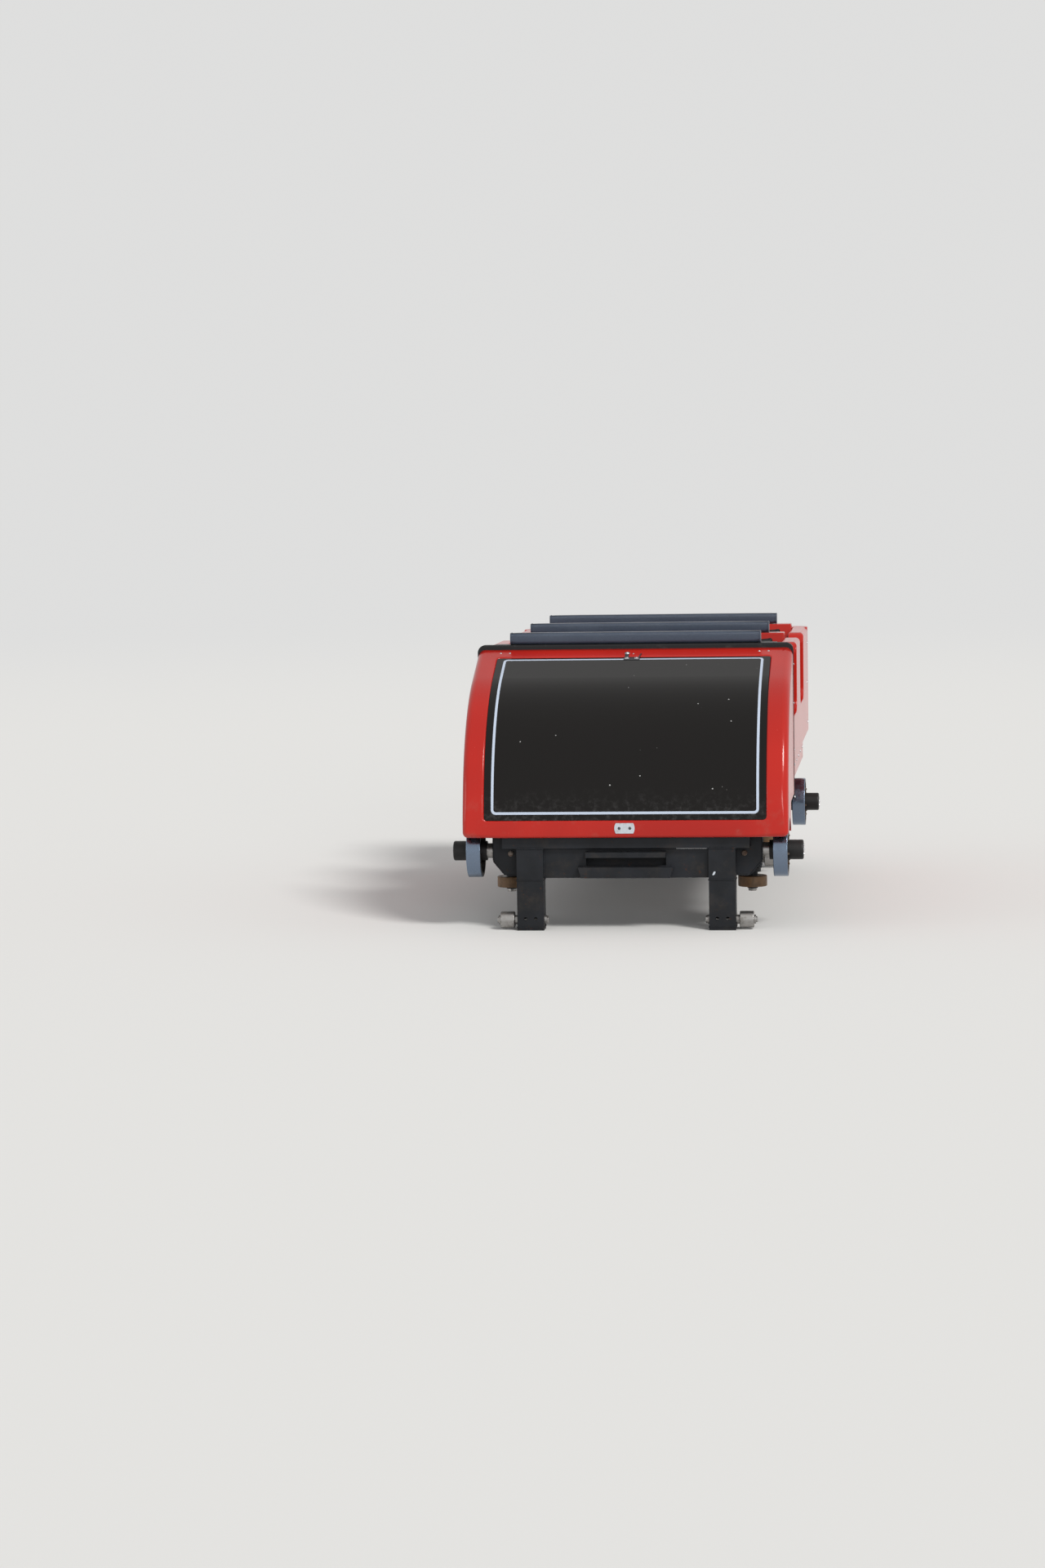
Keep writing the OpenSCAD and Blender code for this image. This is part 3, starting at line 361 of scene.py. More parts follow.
def barFoam():
    look = {"foam": shade(0.014, 0.014, 0.015), "rubbed": shade(0.040, 0.038, 0.037), "rough": 0.66}
    f = Finish("bar_foam", IOR=1.45)
    pits = f.cells(520.0).rise(0.1, 0.5)
    rub = f.noise(14.0, 5.0, 0.6).rise(0.5, 0.8)
    return f.paint(Base_Color=f.tint(rub, look["foam"], look["rubbed"]),
                   Roughness=look["rough"] + rub * 0.12,
                   Normal=f.bump(pits * 0.4 + f.noise(18.0, 2.0) * 0.6, 0.0008, 0.6))


def tyreBrown():
    look = {"tyre": shade(0.16, 0.085, 0.035), "worn": shade(0.09, 0.055, 0.030),
            "steel": shade(0.30, 0.29, 0.28), "soiled": shade(0.05, 0.04, 0.032),
            "hub": 0.035, "blur": 0.0005, "groove": 0.0012, "rough": 0.5}
    f = Finish("tyre_guide", IOR=1.48)
    x, y, z = f.axes()
    radius = distance(abs(x) - car["guideMiddle"] / 1000, fromNearer(y, *car["guideWheels"]))
    rim = 1 - radius.rise(look["hub"] - look["blur"], look["hub"] + look["blur"])
    dirt = f.noise(40.0, 6.0, 0.68).rise(0.4, 0.75)
    colour = f.tint(dirt, look["tyre"], look["worn"])
    colour = f.tint(rim, colour, f.tint(dirt * 0.7, look["steel"], look["soiled"]))
    groove = 1 - abs(radius - look["hub"]).rise(0.0, look["groove"])
    return f.paint(Base_Color=colour, Metallic=rim * 0.8, Roughness=look["rough"] + dirt * 0.2 - rim * 0.12,
                   Normal=f.bump(dirt * 0.3 - groove * 0.8, 0.0009, 0.6))


finishes = {
    "body_red": gelRed(),
    "panel_black": panelBlack(),
    "trim_black": trimBlack(),
    # the pad vinyl's blue-grey base and worn colours are a painted reflection of pale sky, lightening the
    # pads
    "pad_vinyl": vinyl("pad_vinyl", shade(0.048, 0.069, 0.110), shade(0.066, 0.091, 0.136), 0.32),
    "seat_vinyl": vinyl("seat_vinyl", shade(0.014, 0.014, 0.016), shade(0.032, 0.031, 0.032), 0.38),
    "plate_silver": plateSilver(),
    "floor_grey": floorGrey(),
    "frame_black": frameBlack(),
    "bright_steel": steel("bright_steel", shade(0.36, 0.35, 0.34), shade(0.09, 0.075, 0.06), 0.32, 0.5),
    "bar_steel": steel("bar_steel", shade(0.50, 0.50, 0.51), shade(0.20, 0.19, 0.18), 0.24, 0.2),
    "bar_foam": barFoam(),
    "tyre_guide": tyreBrown(),
    "worn_iron": steel("worn_iron", shade(0.24, 0.21, 0.19), shade(0.085, 0.045, 0.025), 0.45, 0.85),
    "running_wheel": wheelSteel(),
    "zinc": steel("zinc", shade(0.58, 0.58, 0.60), shade(0.25, 0.23, 0.20), 0.26, 0.15),
    "screw_dark": steel("screw_dark", shade(0.10, 0.10, 0.11), shade(0.03, 0.027, 0.024), 0.35, 0.5),
}
slotOf = {entry["node"]: entry["material_slot"] for entry in frame["record"]["subparts"]}

for name, node in frame["nodes"].items():
    for held in node.material_slots:
        held.material = finishes["running_wheel" if name.startswith("wheel_") else slotOf[name]]
print("finishes made:", len(finishes))


def meshOf(name, bm):
    mesh = bpy.data.meshes.new(name)
    bm.to_mesh(mesh)
    bm.free()
    return mesh


def link(name, data):
    made = bpy.data.objects.new(name, data)
    bpy.context.scene.collection.objects.link(made)
    return made


def addPiece(name, bm, body, finish, smooth):
    mesh = meshOf(name, bm)
    for polygon in mesh.polygons:
        polygon.use_smooth = True
    mesh.set_sharp_from_angle(angle=math.radians(smooth))
    piece = link(name, mesh)
    mesh.materials.append(finishes[finish])
    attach(piece, body)
    return piece


# The finished mesh of a part, without the doubled places and flat cuts that it comes with
def nodeMesh(node):
    bm = bmesh.new()
    bm.from_mesh(frame["nodes"][node].data)
    bmesh.ops.remove_doubles(bm, verts=bm.verts, dist=0.00002)
    bmesh.ops.dissolve_limit(bm, angle_limit=math.radians(0.25), verts=bm.verts, edges=bm.edges,
                             delimit={"NORMAL"})
    return bm


def bevelEdges(piece, width, segments, angle):
    bevel = piece.modifiers.new("soft edges", "BEVEL")
    bevel.width = width
    bevel.segments = segments
    bevel.limit_method = "ANGLE"
    bevel.angle_limit = math.radians(angle)
    return bevel


def flattenFaces(piece):
    flat = piece.modifiers.new("flat faces", "WEIGHTED_NORMAL")
    flat.keep_sharp = True
    flat.weight = 80


def softenNode(node, width, segments, angle=35.0):
    body = frame["nodes"][node]["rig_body"]
    piece = addPiece(node + "_dressed", nodeMesh(node), body, slotOf[node], angle)
    if "custom_normal" in piece.data.attributes:
        piece.data.attributes.remove(piece.data.attributes["custom_normal"])
    bevel = bevelEdges(piece, width, segments, angle)
    bevel.miter_outer = "MITER_ARC"
    flattenFaces(piece)
    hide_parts(node)


def apply(piece):
    graph = bpy.context.evaluated_depsgraph_get()
    mesh = bpy.data.meshes.new_from_object(piece.evaluated_get(graph))
    piece.modifiers.clear()
    piece.data = mesh


# Faces between two rows with as many places each
def joinRows(bm, first, second, closed):
    count = len(first)
    for k in range(count if closed else count - 1):
        following = (k + 1) % count
        bm.faces.new([first[k], first[following], second[following], second[k]])


# A solid from closed rings, with a face at each end
def stackRings(bm, rings):
    for first, second in zip(rings, rings[1:]):
        joinRows(bm, first, second, True)
    for ring in (rings[0], rings[-1]):
        bm.faces.new(ring)


def finishSolid(name, bm, body, finish, smooth=40.0):
    bmesh.ops.remove_doubles(bm, verts=bm.verts, dist=0.000015)
    bmesh.ops.recalc_face_normals(bm, faces=bm.faces)
    return addPiece(name, bm, body, finish, smooth)


# The nose is unrolled: u runs up its outer skin from the foremost line, d is the depth behind it
def noseSpot(x, u, d=0.0):
    radius, slope = car["noseRadius"], car["hoodSlope"]
    middleS, middleH = car["noseMiddle"]
    angle = min(u / radius, car["hoodTurn"])
    beyond = max(0.0, u - radius * car["hoodTurn"])
    return at(x, middleS - (radius - d) * math.cos(angle) + beyond * math.cos(slope),
              middleH + (radius - d) * math.sin(angle) + beyond * math.sin(slope))


nose = {
    "skin": 12.0, "half": 610.0, "low": -40.03, "corner": 22.0, "softEdge": 1.6, "hem": 5.0,
    "sideRoll": 28.0, "cornerRoll": 20.0, "lowRoll": 12.0, "rollSteps": 8,
    "lowRollOver": (440, 588), "sideRollOver": (-20, 130),
    "panelHalf": 527.0, "panelLow": 27.01, "panelHigh": 870.7, "panelCorner": 14.0,
    "lip": 8.0, "lipSteps": 6, "faceSteps": 4, "crowding": 5,
    "archS": 150.0, "archH": 100.0, "archR": 120.0, "archSteps": 32, "raised": 270.0, "skirt": 160.0,
    "backingHalf": 540.0, "backingDepths": (8.4, 13.6), "backingPast": 12.0, "backingSteps": 44,
}
# Number of places on each side, on the lower and on the upper edge, and round each corner
sideSteps, endSteps, cornerSteps = 56, 40, 8
lowStart = sideSteps + cornerSteps
lowEnd = lowStart + endSteps
rightStart = lowEnd + cornerSteps
upperStart = rightStart + sideSteps


# A rounded rectangle in (x, u) with its outward directions, from the upper left corner down
def roundBox(half, low, high, r, topR):
    spots = []

    def side(x0, u0, x1, u1, count, normal):
        spots.extend((x0 + (x1 - x0) * k / count, u0 + (u1 - u0) * k / count, normal) for k in range(count))

    def bend(x, u, start, radius):
        for k in range(cornerSteps):
            a = math.radians(start + 90 * k / cornerSteps)
            spots.append((x + radius * math.cos(a), u + radius * math.sin(a), (math.cos(a), math.sin(a))))

    side(-half, high - topR, -half, low + r, sideSteps, (-1, 0))
    bend(r - half, low + r, 180, r)
    side(r - half, low, half - r, low, endSteps, (0, -1))
    bend(half - r, low + r, 270, r)
    side(half, low + r, half, high - topR, sideSteps, (1, 0))
    bend(half - topR, high - topR, 0, topR)
    side(half - topR, high, topR - half, high, endSteps, (0, 1))
    bend(topR - half, high - topR, 90, topR)
    return spots


def mix(start, end, part):
    return start + (end - start) * part


def ease(value, start, end):
    t = min(1.0, max(0.0, (value - start) / (end - start)))
    return t * t * (3 - 2 * t)


# The rounded lip round the panel's seat, from the seat up to the face
def noseLip():
    look = nose
    loops = []
    for step in range(look["lipSteps"] + 1):
        a = math.pi / 2 * step / look["lipSteps"]
        grow, deep = look["lip"] * (1 - math.cos(a)), look["lip"] * (1 - math.sin(a))
        corner = look["panelCorner"] + grow
        low, high = look["panelLow"] - grow, look["panelHigh"] + grow
        box = roundBox(look["panelHalf"] + grow, low, high, corner, corner)
        loops.append([(x, u, deep) for x, u, normal in box])
    return loops


# The outline of the nose, with the radius to which its edge is rolled at each place
def noseOutline(inner, top):
    look = nose
    toTop = top - inner[0][1]
    toCorner = look["low"] + look["corner"] - inner[sideSteps][1]
    outline = []
    for k, (x, u, normal) in enumerate(roundBox(look["half"], look["low"], top, look["corner"], 0.0)):
        if k == 0 or k >= upperStart:
            out = math.copysign(1, x)
            x, u, normal, roll = out * look["half"], top, (out, 0), look["sideRoll"]
        elif not normal[1]:
            part = k / sideSteps if k < sideSteps else 1 - (k - rightStart) / sideSteps
            u = inner[k][1] + toTop * (1 - part) ** look["crowding"] + toCorner * part ** look["crowding"]
            roll = mix(look["cornerRoll"], look["sideRoll"], ease(u, *look["sideRollOver"]))
        elif normal[1] == -1:
            roll = mix(look["lowRoll"], look["cornerRoll"], ease(abs(x), *look["lowRollOver"]))
        else:
            roll = look["cornerRoll"]
        outline.append((x, u, normal, roll))
    return outline


# Where the face ends and the rolled edge begins
def faceEdge(outline, top):
    half = nose["half"] - nose["sideRoll"]
    edge = []
    for k, (x, u, normal, roll) in enumerate(outline):
        across = k - upperStart - cornerSteps
        if across < 0:
            edge.append((x - normal[0] * roll, u - normal[1] * roll))
        else:
            edge.append((half - 2 * half * min(across / endSteps, 1.0), top))
    return edge


# One side plate with its wheel arch, between the rolled edge and the lower corner's hem
def addSidePlate(bm, side, edge, corner):
    look = nose
    middleS, middleH, r = look["archS"], look["archH"], look["archR"]
    hems = []
    for v in corner:
        rise = v.co.z * 1000 - car["railTop"] - middleH
        spot = at(v.co.x * 1000, middleS - math.sqrt(r * r - rise * rise), middleH + rise)
        hems.append(bm.verts.new(spot))
    joinRows(bm, corner, hems, False)
    first = hems[0].co * 1000
    start = math.atan2(first.z - car["railTop"] - middleH, first.y - car["noseY"] - middleS)
    end = math.asin((look["skirt"] - middleH) / r)
    arch = []
    for k in range(1, look["archSteps"] + 1):
        a = mix(start, end, k / look["archSteps"])
        arch.append((middleS + r * math.cos(a), middleH + r * math.sin(a)))
    foot = middleS + r
    arch += [(foot, look["skirt"]), (foot, look["raised"]), (car["noseBack"], look["raised"])]
    bm.faces.new(edge + [hems[0]] + [bm.verts.new(at(side * look["half"], *spot)) for spot in arch])


def makeNoseSkin():
    look = nose
    top = car["noseRadius"] * car["hoodTurn"] + car["hoodLong"]
    loops = noseLip()
    inner = loops[-1]
    outline = noseOutline(inner, top)
    edge = faceEdge(outline, top)
    for step in range(1, look["faceSteps"] + 1):
        part = step / look["faceSteps"]
        loops.append([(mix(x0, x1, part), mix(u0, u1, part), 0.0)
                      for (x0, u0, deep), (x1, u1) in zip(inner, edge)])
    bm = bmesh.new()
    rings = [[bm.verts.new(noseSpot(*spot)) for spot in loop] for loop in loops]
    for first, second in zip(rings, rings[1:]):
        joinRows(bm, first, second, True)

    # the rolled edge runs from the seam round the bottom to the seam on the other side
    last = rings[-1][:upperStart + 1]
    slant = math.tan(car["hoodSlope"])
    for step in range(1, look["rollSteps"] + 1):
        a = math.pi / 2 * step / look["rollSteps"]
        row = []
        for x, u, normal, roll in outline[:upperStart + 1]:
            back, deep = roll * (1 - math.sin(a)), roll * (1 - math.cos(a))
            up = min(u - normal[1] * back, top - deep * slant)
            row.append(bm.verts.new(noseSpot(x - normal[0] * back, up, deep)))
        joinRows(bm, last, row, False)
        last = row

    hem = [bm.verts.new(noseSpot(x, u, roll + look["hem"]))
           for x, u, normal, roll in outline[lowStart:lowEnd + 1]]
    joinRows(bm, last[lowStart:lowEnd + 1], hem, False)
    addSidePlate(bm, -1, last[:sideSteps + 1], last[sideSteps:lowStart + 1])
    addSidePlate(bm, 1, last[upperStart:rightStart - 1:-1], last[rightStart:lowEnd - 1:-1])
    bmesh.ops.remove_doubles(bm, verts=bm.verts, dist=0.00002)
    bmesh.ops.recalc_face_normals(bm, faces=bm.faces)
    probe = max(bm.faces, key=lambda face: face.calc_area())  # a side plate, which has to face outward
    if probe.normal.x * probe.calc_center_median().x < 0:
        bmesh.ops.reverse_faces(bm, faces=bm.faces)

    skin = addPiece("nose_skin", bm, "car", "body_red", 38.0)
    thick = skin.modifiers.new("skin", "SOLIDIFY")
    thick.thickness = look["skin"] / 1000
    thick.offset = -1.0
    bevelEdges(skin, look["softEdge"] / 1000, 2, 50)
    apply(skin)
    bm = bmesh.new()
    bm.from_mesh(skin.data)
    bmesh.ops.remove_doubles(bm, verts=bm.verts, dist=0.00005)
    bmesh.ops.dissolve_degenerate(bm, edges=bm.edges, dist=0.00001)
    bm.to_mesh(skin.data)
    bm.free()
    flattenFaces(skin)
    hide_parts("nose_shell")


# The layer of the shell that runs through behind the panel
def makeNoseBacking():
    look = nose
    half = look["backingHalf"]
    outer, inner = look["backingDepths"]
    low, high = look["panelLow"] - look["backingPast"], look["panelHigh"] + look["backingPast"]
    bm = bmesh.new()
    rings = []
    for row in range(look["backingSteps"] + 1):
        u = mix(low, high, row / look["backingSteps"])
        rings.append([bm.verts.new(noseSpot(x, u, deep))
                      for x, deep in ((-half, outer), (half, outer), (half, inner), (-half, inner))])
    stackRings(bm, rings)
    finishSolid("nose_skin_backing", bm, "car", "body_red", 30.0)


makeNoseSkin()
makeNoseBacking()
softened = (  # parts, width of their soft edges in metres, steps across
    (("side_wall_left", "side_wall_right", "rear_shell"), 0.003, 3),
    (("seat_shell_front", "seat_shell_rear"), 0.004, 3),
    (("dash_cap", "seam_edging"), 0.0018, 3),
    (("axle_beams", "up_stop_legs", "front_plate", "rear_plate", "chassis_rails", "cross_members",
      "guide_brackets", "drawbar", "chain_dog", "wear_plates", "lap_bar_lugs"), 0.0015, 2),
    (("screw_plate",), 0.0006, 2),
)
for nodes, width, segments in softened:
    for node in nodes:
        softenNode(node, width, segments)
print("panels and steelwork softened")


def tube(name, points, radius, body, finish, closed=True):
    curve = bpy.data.curves.new(name, "CURVE")
    curve.dimensions = "3D"
    curve.bevel_depth = radius
    curve.bevel_resolution = 1
    curve.use_fill_caps = not closed
    line = curve.splines.new("POLY")
    line.points.add(len(points) - 1)
    for point, spot in zip(line.points, points):
        point.co = (*spot, 1.0)
    line.use_cyclic_u = closed
    holder = link(name, curve)
    graph = bpy.context.evaluated_depsgraph_get()
    mesh = bpy.data.meshes.new_from_object(holder.evaluated_get(graph))
    bpy.data.objects.remove(holder)
    bm = bmesh.new()
    bm.from_mesh(mesh)
    finishSolid(name, bm, body, finish, 60.0)


crashPad = {
    "wide": 975.0, "deep": 68.0, "high": 46.0, "corner": 14.0,
    "dash": (601.667, 854.0), "seatBack": (1356.0, 856.0),  # front lower edges, s and h
    "inset": 0.4, "endInset": 2.0, "segments": 40,
    "endDrop": 1.5, "pinch": 0.6, "pinchWide": 9.0, "wave": 0.4,
    "piping": 3.2, "pipingInset": 1.6, "pipingFromEnd": 3.0,
    "seamThick": 2.2, "seams": {"upper": (9.0, 43.8), "lower": (3.0, 12.0)},
}


# The section of a pad whose front lower edge is at s and h
def padLoop(s, h, inset, r, steps=6):
    s0, h0 = s + inset, h + inset
    s1, h1 = s + crashPad["deep"] - inset, h + crashPad["high"] - inset
    middles = ((s1 - r, h1 - r), (s0 + r, h1 - r), (s0 + r, h0 + r), (s1 - r, h0 + r))
    spots = []
    for turn, (middleS, middleH) in enumerate(middles):
        for step in range(steps + 1):
            a = math.pi / 2 * (turn + step / steps)
            spots.append((middleS + r * math.cos(a), middleH + r * math.sin(a)))
    return spots


def makeCrashPad(name, s, h, node):
    look = crashPad
    loop = padLoop(s, h, look["inset"], look["corner"])
    half = look["wide"] / 2 - look["endInset"]
    bm = bmesh.new()
    rings = []
    for step in range(look["segments"] + 1):
        x = mix(-half, half, step / look["segments"])
        rings.append([bm.verts.new(at(x, *spot)) for spot in loop])
    stackRings(bm, rings)
    bmesh.ops.recalc_face_normals(bm, faces=bm.faces)
    middle = at(0, s + look["deep"] / 2, h + look["high"] / 2)
    for v in bm.verts:  # the foam drops to its ends, is drawn in at the piping and waves a little
        far = abs(v.co.x) * 1000
        wave = math.sin(v.co.x * 23 + s) * 0.35 + math.sin(v.co.x * 61 + h) * 0.2
        pinch = math.exp(-((half - far) / look["pinchWide"]) ** 2)
        sink = look["endDrop"] * (far / half) ** 8 + look["pinch"] * pinch + look["wave"] * wave
        v.co -= Vector((0, v.co.y - middle.y, v.co.z - middle.z)).normalized() * sink / 1000
    pad = addPiece(name, bm, "car", "pad_vinyl", 50.0)
    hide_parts(node)
    for hand, side in handSide.items():
        x = side * (half - look["pipingFromEnd"])
        points = [at(x, *spot) for spot in padLoop(s, h, look["pipingInset"], look["corner"] - 1)]
        tube(f"{name}_piping_{hand}", points, look["piping"] / 2000, "car", "pad_vinyl")
    for mark, (back, up) in look["seams"].items():
        points = [at(k * half / 10, s + back, h + up) for k in range(-10, 11)]
        tube(f"{name}_seam_{mark}", points, look["seamThick"] / 2000, "car", "trim_black", closed=False)


makeCrashPad("dash_pad_soft", *crashPad["dash"], "dash_pad")
for place, shift in rowShift.items():
    padS, padH = crashPad["seatBack"]
    makeCrashPad(f"seat_back_pad_{place}", padS + shift, padH, "seat_back_pads")
print("crash pads made")

cushion = {  # metres
    "inset": 0.007, "corner": 0.02, "voxel": 0.009,
    "pressure": 4.0, "quality": 6, "frames": 20, "cap": 0.011,
    "seamDeep": 0.0056, "seamWide": 0.006, "seamFrom": 0.012, "seamFade": 0.02,
    "piping": 0.0024, "welt": 0.015, "pipingCorner": 0.022, "pipingOut": 0.0007, "reach": 0.02,
}


# The cushion's block is blown up as cloth and then drawn in along its seams
def inflate(name, size, seams):
    look = cushion
    bm = bmesh.new()
    bmesh.ops.create_cube(bm, size=1.0)
    bmesh.ops.scale(bm, vec=Vector([side - 2 * look["inset"] for side in size]), verts=bm.verts)
    bmesh.ops.bevel(bm, geom=bm.edges[:], offset=look["corner"], segments=4, profile=0.5,
                    affect="EDGES", material=-1)
    pad = link(name, meshOf(name, bm))
    remesh = pad.modifiers.new("even mesh", "REMESH")
    remesh.mode = "VOXEL"
    remesh.voxel_size = look["voxel"]
    apply(pad)
    rest = [v.co.copy() for v in pad.data.vertices]
    cloth = pad.modifiers.new("filling", "CLOTH")
    cloth.settings.use_pressure = True
    cloth.settings.uniform_pressure_force = look["pressure"]
    cloth.settings.effector_weights.gravity = 0
    cloth.settings.quality = look["quality"]
    scene = bpy.context.scene
    for number in range(1, look["frames"] + 1):
        scene.frame_set(number)
    apply(pad)
    scene.frame_set(1)
    for vertex, start in zip(pad.data.vertices, rest):
        move = vertex.co - start
        if move.length > look["cap"]:
            vertex.co = start + move.normalized() * look["cap"]
    smooth = pad.modifiers.new("finer", "SUBSURF")
    smooth.levels = smooth.render_levels = 1
    apply(pad)
    half = [side / 2 for side in size]
    for vertex in pad.data.vertices:
        co = vertex.co
        for axis in range(3):  # the swelling stays inside the space of the plain solid
            co[axis] = max(-half[axis], min(half[axis], co[axis]))
        if co.z > 0:
            dent = sum(math.exp(-((co.y - place) / look["seamWide"]) ** 2) for place in seams["across"])
            dent += sum(math.exp(-((co.x - place) / look["seamWide"]) ** 2) for place in seams["along"])
            edge = min(half[0] - abs(co.x), half[1] - abs(co.y))
            fade = min(1.0, max(0.0, (edge - look["seamFrom"]) / look["seamFade"]))
            co.z -= look["seamDeep"] * min(dent, 1.0) * fade
    mesh = pad.data.copy()
    bpy.data.objects.remove(pad)
    return mesh


# Places round a rounded rectangle, each with its outward direction
def edgeRays(halfX, halfY, r, spacing=0.008, steps=8):
    corners = ((1, 1), (-1, 1), (-1, -1), (1, -1))
    rays = []
    for turn, (sideX, sideY) in enumerate(corners):
        for k in range(steps + 1):
            a = math.pi / 2 * (turn + k / steps)
            out = Vector((math.cos(a), math.sin(a), 0))
            rays.append((Vector((sideX * (halfX - r), sideY * (halfY - r), 0)) + out * r, out))
        sideX, sideY = corners[(turn + 1) % 4]
        start, end = rays[-1][0], Vector((sideX * (halfX - r), sideY * (halfY - r), 0)) + out * r
        count = int((end - start).length / spacing)
        rays += [(start.lerp(end, k / count), out) for k in range(1, count)]
    return rays


# A loop of piping that lies on the cushion's side at one height
def pipingLoop(mesh, size, z):
    look = cushion
    tree = BVHTree.FromPolygons([v.co for v in mesh.vertices], [face.vertices[:] for face in mesh.polygons])
    spots = []
    for spot, out in edgeRays(size[0] / 2, size[1] / 2, look["pipingCorner"]):
        spot = spot + Vector((0, 0, z))
        hit = tree.ray_cast(spot + out * look["reach"], -out, 3 * look["reach"])[0]
        spots.append((hit or spot) + out * look["pipingOut"])
    for smoothing in range(3):
        following = spots[1:] + spots[:1]
        spots = [(spots[k - 1] + spot * 2 + following[k]) / 4 for k, spot in enumerate(spots)]
    return spots


def placeCushion(name, mesh, node, where, size):
    made = mesh.copy()
    made.transform(where)
    bm = bmesh.new()
    bm.from_mesh(made)
    piece = addPiece(name, bm, "car", "seat_vinyl", 80.0)
    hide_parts(node)
    height = size[2] / 2 - cushion["welt"]
    for mark, z in (("upper", height), ("lower", -height)):
        points = [where @ spot for spot in pipingLoop(mesh, size, z)]
        tube(f"{name}_piping_{mark}", points, cushion["piping"], "car", "trim_black")


bench = {
    "wide": 520.0, "split": 8.0,
    "seatAt": (920.0, 500.3), "seatLong": 300.0, "seatHigh": 82.0, "seatFall": math.atan(25 / 350),
    "backFrom": (1270.0, 475.0), "backTo": (1342.0, 856.0), "backGap": 0.3,
    "backStart": 102.0, "backOver": 14.0, "backThick": 60.0,
    "seatSeams": {"across": (-0.05, 0.05), "along": ()},
    "backSeams": {"across": (0.0,), "along": (-0.09, 0.09)},
}


def makeCushions():
    look = bench
    seatS, seatH = look["seatAt"]
    (backS, backH), (overS, overH) = look["backFrom"], look["backTo"]
    lean = math.atan((overS - backS) / (overH - backH))
    backTop = (overH - backH) / math.cos(lean) - look["backOver"]
    long, high = look["seatLong"] / 1000, look["seatHigh"] / 1000
    seatSize = (look["wide"] / 1000, long, high)
    backSize = (look["wide"] / 1000, (backTop - look["backStart"]) / 1000, look["backThick"] / 1000)
    seat = inflate("seat_pad", seatSize, look["seatSeams"])
    back = inflate("back_pad", backSize, look["backSeams"])
    middle = Matrix.Translation((0, long / 2, high / 2))
    onSeat = Matrix.Rotation(-look["seatFall"], 4, "X") @ middle
    middle = Matrix.Translation((0, -look["backThick"] / 2000, (backTop + look["backStart"]) / 2000))
    onBack = Matrix.Rotation(-lean, 4, "X") @ middle @ Matrix.Rotation(math.radians(90), 4, "X")
    for place, shift in rowShift.items():
        for hand, side in handSide.items():
            x = side * (look["wide"] + look["split"]) / 2
            where = Matrix.Translation(at(x, seatS + shift, seatH)) @ onSeat
            placeCushion(f"seat_cushion_{place}_{hand}", seat, "seat_cushions", where, seatSize)
            where = Matrix.Translation(at(x, backS - look["backGap"] + shift, backH)) @ onBack
            placeCushion(f"back_cushion_{place}_{hand}", back, "back_cushions", where, backSize)


makeCushions()
print("cushions filled")

lapPad = {
    "radius": 44.0, "length": 400.0, "gap": 25.0, "bore": 19.5, "lip": 9.0, "lipTurn": (2.5, 4.0),
    "waist": 1.2, "wave": 0.5, "steps": 16, "sides": 48, "middle": (1020.0, 760.0),
}


# Turns a row of places round an axis; a closed row gives a ring with a bore
def spinRow(bm, spots, middle, axis, steps, closed=False):
    verts = [bm.verts.new(spot) for spot in spots]
    edges = [bm.edges.new(pair) for pair in zip(verts, verts[1:] + verts[:1] if closed else verts[1:])]
    bmesh.ops.spin(bm, geom=verts + edges, cent=middle, axis=axis, angle=2 * math.pi, steps=steps,
                   use_merge=True)


# The outline of a lap pad, worn to a waist in the middle
def lapPadOutline():
    look = lapPad
    r, half, lip = look["radius"], look["length"] / 2, look["lip"]
    across, down = look["lipTurn"]
    outline = [(-half, look["bore"]), (-half, r - lip), (-half + across, r - down), (-half + lip, r)]
    for k in range(1, look["steps"]):
        part = k / look["steps"]
        waist = look["waist"] * math.sin(math.pi * part) ** 0.5
        wave = look["wave"] * math.sin(k * 1.7)
        outline.append((mix(-half + lip, half - lip, part), r - waist + wave))
    return outline + [(half - lip, r), (half - across, r - down), (half, r - lip), (half, look["bore"])]


def makeLapPads():
    s, h = lapPad["middle"]
    outline = lapPadOutline()
    for place, shift in rowShift.items():
        for hand, side in handSide.items():
            x = side * (lapPad["length"] / 2 + lapPad["gap"])
            bm = bmesh.new()
            spots = [at(x + along, s + shift, h + reach) for along, reach in outline]
            spinRow(bm, spots, at(x, s + shift, h), Vector((1, 0, 0)), lapPad["sides"], closed=True)
            pad = finishSolid(f"lap_pad_{place}_{hand}", bm, f"restraint_{place}", "bar_foam", 50.0)
            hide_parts(f"lap_pads_{place}")


makeLapPads()
print("lap pads made")


# A place to set something on, with its z axis outward
def stand(spot, outward, turn=0.0):
    face = Vector(outward).normalized().to_track_quat("Z", "Y").to_matrix().to_4x4()
    return Matrix.Translation(spot) @ face @ Matrix.Rotation(math.radians(turn), 4, "Z")


def standAt(x, s, h, outward, turn=0.0):
    return stand(at(x, s, h), outward, turn)


def noseStand(x, u, d=0.0, turn=0.0):
    angle = min(u / car["noseRadius"], car["hoodTurn"])
    return stand(noseSpot(x, u, d), (0, -math.cos(angle), math.sin(angle)), turn)


# A turned solid: the outline is a list of (radius, height) that starts and ends on the axis
def lathe(bm, place, outline, steps=20):
    spots = [place @ Vector((r / 1000, 0, z / 1000)) for r, z in outline]
    spinRow(bm, spots, place.translation, place.to_3x3() @ Vector((0, 0, 1)), steps)


def bevelSolid(bm, verts, offset):
    edges = {edge for v in verts for edge in v.link_edges}
    bmesh.ops.bevel(bm, geom=list(edges), offset=offset, segments=2, profile=0.5,
                    affect="EDGES", material=-1)


